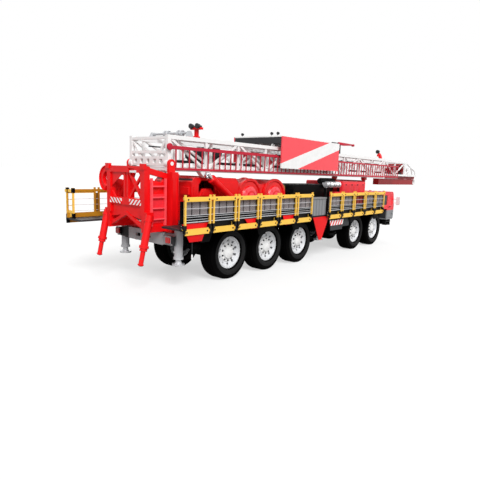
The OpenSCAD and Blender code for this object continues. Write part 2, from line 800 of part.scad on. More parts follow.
// Beams, brace and panel between the portal and a pivot column
module side_frame() {
    y0 = portal_y - 100;
    x1 = column_x[0];
    side_plate([
        [portal_x0 + 1, portal_z1], [x1 + 1, column_z1 - 30],
        [x1 + 1, column_z1 - 150], [portal_x0 + 1, portal_z1 - 130]
    ], y0, portal_y);
    box([portal_x0 + 1, y0, 1300], [x1 + 60, portal_y, 1440]);
    box([portal_x0 + 1, y0, 1439], [portal_x1, portal_y, 1700]);
    strut([portal_x0 + 70, portal_y - 50, 1700], [x1 + 40, portal_y - 50, column_z1 - 60], brace + 10);
    box([portal_x1 - 1, portal_y - 40, 1439], [x1 + 1, portal_y - 18, 2230]);
    side_plate(rounded(portal_x1 + 30, 1500, x1 - 40, 2120, 40), portal_y - 19, portal_y - 6);
    box([x1 + 1, y0, column_z1 - 150], [x1 + 70, column_y[0] + 1, column_z1 - 30]);
    box([x1 + 1, y0, 1300], [x1 + 70, column_y[0] + 1, 1440]);
}

module pivot_column() {
    y0 = column_y[0] + 1;
    y1 = y0 + lug_plate;
    box([column_x[0], column_y[0], rail_top], [column_x[1], column_y[1], column_z1]);
    bar_y(pivot_x, pivot_z, hinge_r, y0, y1);
    side_plate([
        [column_x[0], column_z1 - 10], [pivot_x - hinge_r + 4, pivot_z], [pivot_x + hinge_r - 4, pivot_z],
        [column_x[1], column_z1 - 10]
    ], y0, y1);
    // stiffeners on the column's outer face
    for (x = [column_x[0] + 10, column_x[1] - 30])
        box([x, column_y[1] - 1, rail_top + 60], [x + 20, column_y[1] + 22, column_z1 - 120]);
    side_plate([
        [column_x[1] - 1, column_z1 - 40], [column_x[1] + 90, column_z1 - 40],
        [column_x[1] - 1, column_z1 - 330]
    ], column_y[0] + 60, column_y[0] + 100);
}

// Outer tube of a screw leg with its collars, held at the portal's corner
module leg_tube() {
    leg_frame() {
        cylinder(r = leg_tube_r, h = leg_tube_len, $fn = fine);
        translate([0, 0, leg_tube_len - 120]) cylinder(r = leg_tube_r + 22, h = 60, $fn = fine);
        translate([0, 0, 90]) cylinder(r = leg_tube_r + 14, h = 40, $fn = fine);
    }
    box([leg_top.x - 70, portal_y - 60, 1560], [leg_top.x + 110, leg_y, 1740]);
}

// Curved guard beside the portal, on the left side only
module horn() {
    y = portal_y - 10;
    z = portal_z1 - 300;
    cross_plate(concat(arc(y, z, 300, -70, 100, 10), arc(y, z, 175, 100, -70, 10)),
        portal_x0, portal_x0 + 100);
    cross_plate(concat(arc(y, z, 300, -66, 96, 10), arc(y, z, 280, 96, -66, 10)),
        portal_x0 - 25, portal_x0 + 125);
}

// Ladder beside the base, on the portal's outer face
rungs = 4;
module rear_steps() {
    x0 = portal_x1 + 20;
    x1 = column_x[0] - 60;
    y = portal_y;
    for (x = [x0, x1]) {
        box([x - 20, y + 9, 1440], [x + 20, y + 60, column_z1 - 140]);
        for (z = [1440, column_z1 - 230]) box([x - 20, y - 1 - 40, z], [x + 20, y + 60, z + 50]);
    }
    for (k = [0 : rungs - 1]) bar_rung(x0, x1, y + 34, 1580 + k * 235);
}

// A round rung along X
module bar_rung(x0, x1, y, z) {
    turned_x(x0, y, z, [[0, 0], [18, 0], [18, x1 - x0], [0, x1 - x0]]);
}

module leg_screw(side) {
    color([1, 0, 0]) place() scale_side(side) leg_frame() rotate_extrude($fn = fine) polygon([
        [0, 60], [leg_rod_r, 60], [leg_rod_r, leg_len - 60], [leg_rod_r + 12, leg_len - 50],
        [leg_rod_r + 12, leg_len - 30], [leg_rod_r - 12, leg_len - 8], [0, leg_len]
    ]);
}

// Front rest that carries the lying mast behind the cab
module mast_rest() {
    x0 = hood_x1 + 40;
    x1 = x0 + 110;
    color([0.85, 0.05, 0.05]) place() union() {
        both_sides() {
            box([x0, rail_y - rail_w, rail_top], [x1, rail_y, 1700]);
            strut([x0 + 55, rail_y - 45, 1640], [x0 + 55, mast_y - 45, mast_z0 - 60], 90);
            box([x0 - 30, mast_y - 140, mast_z0 - 100], [x1 + 30, mast_y + 20, mast_z0 - seat]);
            side_plate([
                [x0 - 18, mast_z0 - 90], [x1 + 18, mast_z0 - 90],
                [x1 - 15, mast_z0 - 232], [x0 + 15, mast_z0 - 232]
            ], mast_y - 110, mast_y - 20);
        }
        box([x0 + 10, -rail_y + 20, 1560], [x1 - 10, rail_y - 20, 1660]);
        box([x0 + 10, -mast_y + 60, mast_z0 - 220], [x1 - 10, mast_y - 60, mast_z0 - 120]);
        strut([x0 + 55, -rail_y + 60, 1620], [x0 + 55, mast_y - 120, mast_z0 - 180], 60);
        strut([x0 + 55, rail_y - 60, 1620], [x0 + 55, -mast_y + 120, mast_z0 - 180], 42);
    }
}

// Machinery

winch_x1 = winch_x0 + winch_len;
wall = 30;
octagon = [winch_x0 + 230, winch_x0 + 760];
module drawworks_housing() {
    z0 = deck_z;
    c = 110;
    a = octagon[0];
    b = octagon[1];
    z1 = winch_z - 70;
    color([0.9, 0.03, 0.03]) place() union() {
        difference() {
            side_plate([
                [winch_x0, z0], [winch_x0, winch_z - c], [winch_x0 + c, winch_z], [winch_x1 - c, winch_z],
                [winch_x1, winch_z - c], [winch_x1, z0]
            ], -winch_y, winch_y);
            side_plate([
                [winch_x0 + wall, z0 - weld], [winch_x0 + wall, winch_z - c], [winch_x0 + c, winch_z - wall],
                [winch_x1 - c, winch_z - wall], [winch_x1 - wall, winch_z - c], [winch_x1 - wall, z0 - weld]
            ], -winch_y + wall, winch_y - wall);
            // side opening with a raised sill
            side_plate([
                [a, z1 - 330], [a + 120, z1 - 190], [b - 120, z1 - 190], [b, z1 - 330],
                [b, z1 - 90], [b - 90, z1], [a + 90, z1], [a, z1 - 90]
            ], -winch_y - weld, winch_y + weld);
        }
        both_sides() {
            // cover plates, a stiffening rib and the end box
            side_plate([[a + 30, z1 - 360], [a + 140, z1 - 235], [b - 140, z1 - 235], [b - 30, z1 - 360]],
                winch_y - weld, winch_y + 14);
            side_plate(rounded(b + 90, z0 + 90, winch_x1 - 60, winch_z - 120, 50),
                winch_y - weld, winch_y + 12);
            side_plate(rounded(winch_x0 + 60, z0 + 90, a - 40, winch_z - 200, 30),
                winch_y - weld, winch_y + 12);
            box([winch_x0, winch_y - weld, z0 + 20], [winch_x1, winch_y + 20, z0 + 60]);
        }
        box([winch_x0 - 70, -winch_y + 40, 2090], [winch_x0 + weld, -winch_y + 300, 2260]);
        box([winch_x0 - 45, winch_y - 420, 1900], [winch_x0 + weld, winch_y - 60, 2320]);
        box([a + 60, -300, winch_z - weld], [b - 60, 300, winch_z + 30]);
    }
}

drum_x = [winch_x0 + 2220, winch_x0 + 3360];
drum_z = deck_z + guard_r + 4;
drum_half = winch_y - 60;
module drum_guards() {
    w = drum_half;
    x1 = drum_x[1] + guard_r + 100;
    half = [
        [0, w + 90], [70, w + 90], [95, w + 60], [190, w + 50], [210, w + 20], [290, w + 10], [320, w - 30],
        [guard_r - 95, w - 30], [guard_r - 65, w], [guard_r, w], [guard_r, w - 70], [guard_r - 30, w - 80]];
    color([0.9, 0.03, 0.03]) place() union() {
        for (x = drum_x) {
            translate([x, 0, drum_z]) rotate([-90, 0, 0]) rotate_extrude($fn = 96) polygon(
                concat(half, [for (k = [len(half) - 1 : -1 : 0]) [half[k][0], -half[k][1]]]));
            box([x - guard_r + 40, -w + 30, deck_z], [x + guard_r - 40, w - 30, drum_z]);
        }
        // rounded guard beyond the second drum
        side_plate(concat([[drum_x[0], deck_z]], [[x1, deck_z]], arc(x1 - 120, winch_z - 280, 120, 0, 90),
            [[drum_x[0], winch_z - 160]]), -w + 90, w - 90);
        both_sides() side_plate(concat([[x1 - 260, deck_z + 60], [x1 - 60, deck_z + 60]],
            arc(x1 - 150, winch_z - 310, 90, 0, 90), [[x1 - 260, winch_z - 220]]), w - 91, w - 70);
    }
}

engine_y = 520;
engine_z = 2330;
module engine() {
    color([0.1, 0.1, 0.11]) place() side_plate(concat(
        [[engine_x1, deck_z]], arc(engine_x1 - 130, engine_z - 130, 130, 0, 90),
        arc(engine_x0 + 330, engine_z - 330, 330, 90, 180, 8), [[engine_x0, deck_z]]
    ), -engine_y, engine_y);
}

// Corrugated pipes lying beside and over the engine
pipe_rise = 22;
pipe_waves = 12;
module exhaust_pipe() {
    x0 = engine_x1 - 760;
    x1 = hood_x0 - 20;
    pitch = (x1 - x0 - 100) / pipe_waves;
    beside = -engine_y - pipe_r - pipe_rise - 13;
    wave = concat([[0, 0], [pipe_r, 0]],
        [for (k = [0 : pipe_waves - 1]) for (s = [[0.1, 0], [0.35, 1], [0.65, 1], [0.9, 0]])
            [pipe_r + s[1] * pipe_rise, 50 + (k + s[0]) * pitch]],
        [[pipe_r, x1 - x0], [0, x1 - x0]]);
    color([0.8, 0.8, 0.82]) place() union() {
        turned_x(x0, beside, engine_z, wave);
        turned_x(x0, beside + 240, engine_z + pipe_r + pipe_rise + 10, wave);
        for (x = [x0 + 20, x1 - 60]) {
            box([x, beside - 40, x < cabinet_x0 ? deck_z : cabinet_z], [x + 40, beside + 40, engine_z - 20]);
            box([x, beside, engine_z + 8], [x + 40, beside + 240, engine_z + 70]);
        }
    }
}

// Radiator hood with four louvred panels a side, and the small cabinet behind it
hood_y = 760;
cabinet_x0 = hood_x0 - 560;
cabinet_z = 2080;
louvres = 7;
module radiator_hood() {
    pitch = (hood_len - 90) / 4;
    color([0.9, 0.03, 0.03]) place() difference() {
        union() {
            side_plate([
                [hood_x0, deck_z], [hood_x0, hood_z - 40], [hood_x0 + 40, hood_z], [hood_x1 - 40, hood_z],
                [hood_x1, hood_z - 40], [hood_x1, deck_z]
            ], -hood_y, hood_y);
            both_sides() for (k = [0 : 3]) {
                x = hood_x0 + 60 + k * pitch;
                side_plate(rounded(x, deck_z + 120, x + pitch - 30, hood_z - 80, 25),
                    hood_y - weld, hood_y + 14);
            }
            box([cabinet_x0, -hood_y, deck_z], [hood_x0 + weld, -engine_y - 40, cabinet_z]);
            side_plate(rounded(cabinet_x0 + 30, deck_z + 60, hood_x0 - 30, cabinet_z - 40, 25),
                -hood_y - 12, -hood_y + weld);
        }
        both_sides() for (k = [0 : 3]) for (n = [0 : louvres - 1]) {
            x = hood_x0 + 60 + k * pitch;
            z = hood_z - 420 + n * 42;
            side_plate([[x + 50, z], [x + pitch - 80, z], [x + pitch - 80, z + 22], [x + 50, z + 22]],
                hood_y + 2, hood_y + 20);
        }
        for (n = [0 : 9])
            box([hood_x1 - 40, -hood_y + 90, deck_z + 130 + n * 78],
                [hood_x1 + weld, hood_y - 90, deck_z + 170 + n * 78]);
    }
}

// Cab

glass_z = [sill_z, sill_z + 385];
floor_z = cab_z0 + cab_t;
shelf_z = 1400;
roof_r = 170;
nose_r = 90;
rake = 12;
nose = [cab_x1 - nose_r, cab_z0 + nose_r];
brow = [cab_x1 - 270, cab_z1 - roof_r];
cab_outline = concat(
    [[cab_x0, shelf_z], [arch_x1, shelf_z], [arch_x1, cab_z0]], arc(nose[0], nose[1], nose_r, -90, 0),
    [[cab_x1, 1500]], arc(brow[0], brow[1], roof_r, rake, 90), [[cab_x0, cab_z1]]);
cab_inner = concat(
    [[cab_x0 + cab_t, shelf_z + cab_t], [arch_x1 + cab_t, shelf_z + cab_t], [arch_x1 + cab_t, floor_z]],
    arc(nose[0], nose[1], nose_r - cab_t, -90, 0),
    [[cab_x1 - cab_t, 1500]], arc(brow[0], brow[1], roof_r - cab_t, rake, 90),
    [[cab_x0 + cab_t, cab_z1 - cab_t]]);
door_x = [arch_x1 + 60, cab_x1 - 150];
door_z = [cab_z0 + 60, glass_z[1] + 10];
door_gap = 8;
rear_window = [cab_x0 + 160, arch_x1 - 50];
hinge_x = door_x[1] + 24;
hinge_y = cab_y + 18;
hinge_z = [door_z[0] + 150, door_z[1] - 210];
hinge_pin_r = 6;

// Pins and brackets that carry the doors
module door_hinges() {
    both_sides() for (z = hinge_z) {
        box([hinge_x - 12, cab_y - 1, z - 16], [hinge_x + 12, hinge_y + 12, z - 3]);
        translate([hinge_x, hinge_y, z - 10]) cylinder(r = hinge_pin_r, h = 68, $fn = 32);
    }
}

// Mirror on a bracket ahead of the door
module mirror_arm() {
    x = cab_x1 - 60;
    y = cab_y;
    for (z = [1700, 1850]) box([x - 40, y - 1, z - 90], [x - 14, y + 150, z - 66]);
    side_plate(rounded(x - 50, 1540, x - 10, 1880, 18), y + 120, y + 270);
}

module cab_shell() {
    color([0.8, 0.04, 0.05]) place() union() {
        door_hinges();
        cab_body();
        both_sides() {
            mirror_arm();
            // steps under the door and a rib round the wheel arch
            for (z = [760, 890]) box([door_x[0] + 10, cab_y - 190, z - 30], [door_x[1] - 20, cab_y - 20, z]);
            for (x = [door_x[0] + 10, door_x[1] - 50])
                box([x, cab_y - 180, 731], [x + 30, cab_y - 40, cab_z0 + 1]);
            box([cab_x0, cab_y - 1, shelf_z], [arch_x1 - 20, cab_y + 12, shelf_z + 40]);
        }
        // drip rail and grille frame
        box([cab_x0 + 20, -cab_y - 10, cab_z1 - 26], [brow[0], cab_y + 10, cab_z1 - 10]);
        for (n = [0 : 4]) box([cab_x1 - 5, -620, 1130 + n * 62], [cab_x1 + 12, 620, 1160 + n * 62]);
    }
}

module cab_body() {
    difference() {
        side_plate(cab_outline, -cab_y, cab_y);
        side_plate(cab_inner, -cab_y + cab_t, cab_y - cab_t);
        // door openings, side windows behind the doors, windscreens and rear window
        box([door_x[0], -cab_y - 1, door_z[0]], [door_x[1], cab_y + 1, door_z[1]]);
        side_plate(rounded(rear_window[0], glass_z[0], rear_window[1], glass_z[1], 40),
            -cab_y - 1, cab_y + 1);
        both_sides() box([cab_x1 - 200, 30, glass_z[0]], [cab_x1 + 1, cab_y - 110, glass_z[1]]);
        box([cab_x0 - 1, -500, glass_z[0]], [cab_x0 + cab_t + 1, 500, glass_z[1]]);
    }
}

module cab_glass() {
    t = 8;
    deep = 24;
    // run of the windscreen back from the nose, over its height
    lean = (cab_x1 - brow[0] - roof_r * cos(rake)) / (brow[1] + roof_r * sin(rake) - 1500);
    back = [for (z = glass_z) cab_x1 - deep - lean * (z - 1500)];
    color([0.1, 0.12, 0.14, 0.6]) place() {
        both_sides() {
            side_plate(rounded(rear_window[0], glass_z[0], rear_window[1], glass_z[1], 40),
                cab_y - deep, cab_y - deep + t);
            side_plate([
                [back[0] - t, glass_z[0]], [back[0], glass_z[0]],
                [back[1], glass_z[1]], [back[1] - t, glass_z[1]]
            ], 30, cab_y - 110);
        }
        box([cab_x0 + 16, -500, glass_z[0]], [cab_x0 + 16 + t, 500, glass_z[1]]);
    }
}

// Seats for driver and crew, and the dashboard with its steering wheel
seat_y = [[420, 900], [-900, -420]];
module cab_seats() {
    x = arch_x1 + cab_t + 15;
    front = cab_x1 - cab_t;
    color([0.12, 0.12, 0.13]) place() {
        for (y = seat_y) union() {
            box([x + 50, y[0] + 80, floor_z], [x + 330, y[1] - 80, floor_z + 181]);
            side_plate(rounded(x + 5, floor_z + 180, x + 360, floor_z + 280, 40), y[0], y[1]);
            side_plate([
                [x, floor_z + 230], [x + 95, floor_z + 230], [x + 60, floor_z + 800], [x, floor_z + 800]],
                y[0] + 15, y[1] - 15);
        }
        union() {
            side_plate([
                [front, 1180], [front, 1450], [front - 90, 1430], [front - 150, 1370], [front - 120, 1180]
            ], -cab_y + cab_t + 25, cab_y - cab_t - 25);
            translate([front - 190, 660, 1470]) rotate([0, -50, 0]) steering_wheel();
        }
    }
}

module steering_wheel() {
    rotate_extrude($fn = fine) translate([190, 0]) circle(r = 16, $fn = 24);
    for (a = [0, 120, 240]) rotate([0, 0, a]) box([-12, -16, -8], [192, 16, 8]);
    translate([0, 0, -130]) cylinder(r = 26, h = 136, $fn = 32);
}

// A round lamp along X, standing on the plane at x
module lamp(x, y, z, r, h) {
    turned_x(x, y, z, [[0, 0], [r, 0], [r, h - 8], [r - 12, h], [0, h]]);
}

module lamps() {
    color([0.9, 0.9, 0.85]) place() both_sides() {
        lamp(bumper_x1, 950, 820, 80, 35);
        lamp(cab_x1, 950, 1250, 70, 30);
        // tail lamps
        box([chassis_x0 - 130, 880, 1080], [chassis_x0 - 100, 1010, 1200]);
    }
}

module cab_door(side) {
    color([0.8, 0.04, 0.05]) place() scale_side(side) union() {
        difference() {
            box([door_x[0] + door_gap, cab_y - cab_t, door_z[0] + door_gap],
                [door_x[1] - door_gap, cab_y, door_z[1] - door_gap]);
            side_plate(rounded(door_x[0] + 70, glass_z[0] - 20, door_x[1] - 60, glass_z[1] - 50, 35),
                cab_y - cab_t - 1, cab_y + 1);
            side_plate(rounded(door_x[0] + 60, door_z[0] + 60, door_x[1] - 50, 1420, 30),
                cab_y - 8, cab_y + 1);
        }
        box([door_x[0] + 60, cab_y - 24, glass_z[0] - 30], [door_x[1] - 50, cab_y - 16, glass_z[1] - 40]);
        // hinge arms reach the pin line in front of the door
        for (z = hinge_z) difference() {
            union() {
                box([door_x[1] - 60, cab_y - 1, z], [door_x[1] - 20, hinge_y + 12, z + 60]);
                box([door_x[1] - 21, cab_y + 5, z], [hinge_x, hinge_y + 12, z + 60]);
                translate([hinge_x, hinge_y, z]) cylinder(r = 12, h = 60, $fn = 32);
            }
            translate([hinge_x, hinge_y, z - 1]) cylinder(r = hinge_pin_r + pin_gap, h = 62, $fn = 32);
        }
        box([door_x[0] + 20, cab_y - 1, 1450], [door_x[0] + 120, cab_y + 30, 1475]);
    }
}

// Raising cylinders: barrels hinged on the deck, rods reaching up to the mast

raise_y = 865;
raise_base = [pivot_x + 2520, deck_z + 110];
raise_eye = [pivot_x + 1000, mast_z0 - 60];
raise_run = raise_eye - raise_base;
raise_len = norm(raise_run);
raise_angle = atan2(raise_run.y, raise_run.x);
barrel_r = 92;
raise_rod_r = 55;
raise_pin_r = 35;
eye_r = 80;
eye_w = 50;
barrel_from = 130;
barrel_to = raise_len - 160;

module raise_frame() {
    translate([raise_base.x, raise_y, raise_base.y]) rotate([0, 90 - raise_angle, 0]) children();
}

// A disc across the frame, about the pin line
module cross_disc(r, w) {
    rotate([90, 0, 0]) translate([0, 0, -w / 2]) cylinder(r = r, h = w, $fn = fine);
}

module raise_barrels() {
    color([0.85, 0.05, 0.05]) place() both_sides() raise_frame() difference() {
        union() {
            translate([0, 0, barrel_from]) cylinder(r = barrel_r, h = barrel_to - barrel_from, $fn = fine);
            translate([0, 0, barrel_to - 70]) cylinder(r = barrel_r + 14, h = 70, $fn = fine);
            box([-50, -eye_w / 2, 0], [50, eye_w / 2, barrel_from + 1]);
            cross_disc(eye_r, eye_w);
        }
        translate([0, 0, barrel_from + 30]) cylinder(r = raise_rod_r + pin_gap, h = raise_len, $fn = fine);
        cross_disc(raise_pin_r + pin_gap, 2 * eye_w);
    }
}

module raise_rods() {
    color([0.85, 0.85, 0.87]) place() both_sides() raise_frame() difference() {
        union() {
            translate([0, 0, barrel_from + 40])
                cylinder(r = raise_rod_r, h = raise_len - barrel_from - 40, $fn = fine);
            translate([0, 0, raise_len]) cross_disc(eye_r, eye_w);
        }
        translate([0, 0, raise_len]) cross_disc(raise_pin_r, 2 * eye_w);
    }
}

// Brackets that carry the barrels' lower pins
module raise_brackets() {
    lug_in = raise_y - eye_w / 2 - 32;
    both_sides() {
        for (y = [lug_in, raise_y + eye_w / 2 + 4]) side_plate([
            [raise_base.x - 110, deck_z - 1], [raise_base.x - 60, raise_base.y + 50],
            [raise_base.x + 60, raise_base.y + 50], [raise_base.x + 110, deck_z - 1]
        ], y, y + 28);
        bar_y(raise_base.x, raise_base.y, raise_pin_r, lug_in, raise_y + eye_w / 2 + 32);
    }
}

// Mast, lower section: four main tubes, side and back lattice, open front

lattice = 62;
upper_lattice = 54;
lower_bays = 10;
upper_bays = 12;
mast_cy = mast_y - chord / 2;
mast_cz0 = mast_z0 + chord / 2;
mast_cz1 = mast_z1 - chord / 2;

// Posts and diagonals between x0 and x1; the diagonals are a little thinner
module lattice_side(x0, x1, bays, y, z0, z1, w) {
    step = (x1 - x0) / bays;
    for (k = [0 : bays]) box([x0 + k * step - w / 2, y - w / 2, z0], [x0 + k * step + w / 2, y + w / 2, z1]);
    for (k = [0 : bays - 1]) {
        up = k % 2;
        strut([x0 + k * step, y, up ? z0 : z1], [x0 + (k + 1) * step, y, up ? z1 : z0], w - 6);
    }
}

module lattice_back(x0, x1, bays, y0, z, w) {
    step = (x1 - x0) / bays;
    for (k = [0 : bays]) box([x0 + k * step - w / 2, -y0, z - w / 2], [x0 + k * step + w / 2, y0, z + w / 2]);
    for (k = [0 : bays - 1]) {
        s = k % 2 ? 1 : -1;
        strut([x0 + k * step, -s * y0, z], [x0 + (k + 1) * step, s * y0, z], w - 6);
    }
}

// Foot frame: corner posts, a pierced cross beam and slanted braces
module mast_foot_frame() {
    x1 = mast_x0 + chord;
    both_sides() {
        box([mast_x0, mast_cy - chord / 2, mast_z0], [x1, mast_cy + chord / 2, mast_z1]);
        strut([mast_x0 + chord / 2, mast_cy - 20, mast_z1 - 60],
            [mast_x0 + chord / 2, 300, mast_z0 + 300], 56);
    }
    difference() {
        box([mast_x0, -mast_cy, mast_z0 + 110], [x1, mast_cy, mast_z0 + 310]);
        for (k = [-2 : 2])
            cross_plate(rounded(k * 230 - 55, mast_z0 + 160, k * 230 + 55, mast_z0 + 260, 22),
                mast_x0 - 1, x1 + 1);
    }
    for (z = [mast_z0 + 380, mast_z1 - chord]) box([mast_x0 + 5, -mast_cy, z], [x1 - 5, mast_cy, z + 60]);
}

module mast_lower() {
    x0 = mast_x0 + chord / 2;
    x1 = mast_x1 - chord / 2;
    ear_low = raise_eye.y - 52;
    color([0.93, 0.93, 0.93]) place() difference() {
        union() {
            both_sides() {
                for (z = [mast_cz0, mast_cz1]) box([mast_x0, mast_cy - chord / 2, z - chord / 2],
                    [mast_x1, mast_cy + chord / 2, z + chord / 2]);
                lattice_side(x0, x1, lower_bays, mast_cy, mast_cz0, mast_cz1, lattice);
                bar_y(pivot_x, pivot_z, hinge_r, mast_cy - chord / 2 - 5, mast_y + 5);
                bar_y(pivot_x, pivot_z, pivot_r - pin_gap, mast_y - 10, column_y[0] + lug_plate);
                // lifting ears beside the raising rods
                side_plate([
                    [raise_eye.x - 180, mast_z0 + 10], [raise_eye.x - 55, ear_low],
                    [raise_eye.x + 55, ear_low], [raise_eye.x + 180, mast_z0 + 10]
                ], mast_cy, raise_y - raise_rod_r - 8);
            }
            lattice_back(x0, x1, lower_bays, mast_cy, mast_cz0, lattice);
            mast_foot_frame();
            box([mast_x1 - chord, -mast_cy, mast_z0], [mast_x1, mast_cy, mast_z0 + chord]);
        }
        both_sides() bar_y(raise_eye.x, raise_eye.y, raise_pin_r, mast_cy - 1, raise_y);
    }
}

ladder_rungs = 64;
module mast_ladder() {
    z0 = mast_z0 + 60;
    z1 = mast_z0 + 510;
    x1 = mast_x1 + 1400;
    y0 = mast_y + 30;
    w = 36;
    first = pivot_x + 110;
    step = (x1 - first - 40) / ladder_rungs;
    color([0.9, 0.1, 0.1]) place() mirror([0, 1, 0]) union() {
        box([mast_x0, y0, z1 - w], [x1, y0 + w, z1 + w / 2]);
        box([first, y0, z0 - w], [x1, y0 + w, z0 + w / 2]);
        bar_y(mast_x0 + 20, z1 + 10, 62, y0, y0 + w);
        for (k = [0 : ladder_rungs]) box([first + 20 + k * step - 12, y0 + 6, z0 - 10],
            [first + 20 + k * step + 12, y0 + w - 6, z1 - 10]);
        for (k = [0 : 8]) box([mast_x0 + 250 + k * 1320, mast_y + seat, z0 - 25],
            [mast_x0 + 300 + k * 1320, y0 + 1, z0 + 5]);
    }
}

// Sheave with a groove, between y - w and y + w
module sheave(x, y, z, r, w) {
    translate([x, y, z]) rotate([-90, 0, 0]) rotate_extrude($fn = fine) polygon([
        [0, -w], [r * 0.3, -w], [r * 0.35, -w * 0.5], [r * 0.7, -w * 0.5],
        [r * 0.75, -w], [r, -w], [r - w, 0],
        [r, w], [r * 0.75, w], [r * 0.7, w * 0.5], [r * 0.35, w * 0.5], [r * 0.3, w], [0, w]
    ]);
}

// On the lower section: floodlight stand and line sheaves near the foot
module mast_fittings() {
    x = pivot_x + 820;
    top = mast_z1 + seat;
    color([0.85, 0.05, 0.05]) place() {
        union() {
            box([x - 40, -mast_y + 10, top], [x + 40, -mast_y + 80, top + 230]);
            box([x - 60, -mast_y - 5, top], [x + 60, -mast_y + 88, top + 30]);
            box([x - 50, -mast_y - 120, top + 180], [x + 50, -mast_y + 210, top + 230]);
            for (y = [-mast_y - 60, -mast_y + 150]) turned_x(x - 110, y, top + 255,
                [[0, 0], [55, 0], [60, 20], [45, 90], [20, 120], [20, 160], [0, 160]]);
        }
        union() {
            for (y = [-mast_y + 10, mast_y - 70]) side_plate([
                [x - 330, top], [x - 270, top + 130], [x - 190, top + 130], [x - 130, top]], y, y + 60);
            bar_y(x - 230, top + 90, 30, -mast_y + 11, mast_y - 11);
            for (y = [-420, -300, 60, 180]) sheave(x - 230, y, top + 90, 70, 24);
        }
    }
}

// Mast, upper section, nested in the lower one

upper_y = mast_y - chord - gap;
upper_z0 = mast_z0 + chord + gap;
upper_z1 = mast_z1 - 30;
upper_x0 = mast_x0 + 260;
upper_x1 = crown_x1 - 1900;
upper_chord = 80;
upper_cy = upper_y - upper_chord / 2;

module mast_upper() {
    h = upper_chord / 2;
    x0 = upper_x0 + h;
    x1 = upper_x1 - h;
    cz0 = upper_z0 + h;
    cz1 = upper_z1 - h;
    color([0.93, 0.93, 0.93]) place() union() {
        both_sides() {
            for (z = [cz0, cz1]) box([upper_x0, upper_cy - h, z - h], [upper_x1, upper_cy + h, z + h]);
            lattice_side(x0, x1, upper_bays, upper_cy, cz0, cz1, upper_lattice);
            // slide shoes against the lower section's tubes
            for (x = [upper_x0 + 60, mast_x1 - mast_stroke - 300])
                box([x, upper_y - 1, mast_z0 + chord + seat], [x + 160, mast_y - chord + 8, upper_z0 + 75]);
            // lugs and pins that the racking board turns on
            box([board_hinge.x - board_lug_r, upper_cy - 20, upper_z1 - 1],
                [board_hinge.x + board_lug_r, upper_cy + 20, board_hinge.y]);
            bar_y(board_hinge.x, board_hinge.y, board_lug_r, upper_cy - 20, upper_cy + 20);
            bar_y(board_hinge.x, board_hinge.y, board_pin_r, upper_cy, board_lug_y[1]);
        }
        lattice_back(x0, x1, upper_bays, upper_cy, cz0, upper_lattice);
        box([upper_x1 - upper_chord, -upper_cy, cz1 - h], [upper_x1, upper_cy, cz1 + h]);
        // curved lamp bracket near the head of the lower section
        side_plate(concat(
            arc(mast_x1 - 400, upper_z1 - 5, 190, -2, 100, 8),
            arc(mast_x1 - 400, upper_z1 - 5, 130, 100, -2, 8)),
            -upper_cy - 20, -upper_cy + 20);
        box([mast_x1 - 450, -upper_cy - 30, upper_z1 + 110], [mast_x1 - 398, -upper_cy + 30, upper_z1 + 196]);
    }
}

// Crown: side trusses, a row of sheaves and the long box under them
crown_sheaves = [-320, -190, -60, 70, 200, 330];
module crown_block() {
    x0 = upper_x1 + seat;
    x1 = crown_x1;
    nose_x = x1 - 420;
    y1 = upper_y - 20;
    y = y1 - 25;
    shaft_z = upper_z0 + 300;
    box_x0 = mast_x1 + 160;
    box_z0 = mast_z0 - 290;
    color([0.75, 0.1, 0.12]) place() union() {
        both_sides() {
            side_plate([
                [x0, upper_z0], [x0, upper_z1], [x0 + 90, upper_z1 + 90],
                [x0 + 180, upper_z1], [x0 + 110, upper_z0]
            ], y1 - 50, y1);
            side_plate([
                [x0 + 1, upper_z0], [x0 + 1, upper_z0 + 80], [nose_x, upper_z0 + 80], [nose_x, upper_z0]
            ], y1 - 50, y1);
            strut([x0 + 150, y, upper_z1 - 30], [nose_x - 40, y, upper_z0 + 230], 46);
            strut([x0 + 90, y, upper_z0 + 60], [x0 + 780, y, upper_z1 - 180], 42);
            strut([x0 + 780, y, upper_z1 - 180], [x0 + 1100, y, upper_z0 + 40], 40);
            box([nose_x - 60, y1 - 49, upper_z0 + 10], [nose_x - 10, y1 - 1, upper_z0 + 260]);
            bar_y(x0 + 430, shaft_z, 95, y1 - 50, y1);
            strut([x0 + 428, y, shaft_z], [x0 + 428, y, upper_z0 + 40], 90);
        }
        for (x = [x0 + 12, x0 + 800, nose_x - 120])
            box([x, -y1 + 1, upper_z0 + 10], [x + 80, y1 - 1, upper_z0 + 75]);
        box([x0 + 20, -y1 + 1, upper_z1 - 80], [x0 + 70, y1 - 1, upper_z1 - 20]);
        bar_y(x0 + 430, shaft_z, 60, -y1 + 1, y1 - 1);
        for (s = crown_sheaves) sheave(x0 + 430, s, shaft_z, 290, 34);
        // long box on hangers, ahead of the cab
        difference() {
            box([box_x0, -430, box_z0], [x1, -180, upper_z0 - 130]);
            box([x1 - 330, -431, box_z0 + 50], [x1 - 50, -179, upper_z0 - 180]);
        }
        for (x = [x0 + 300, nose_x - 120]) box([x, -420, upper_z0 - 131], [x + 90, -190, upper_z0 + 60]);
    }
}

// Racking board folded down over the mast

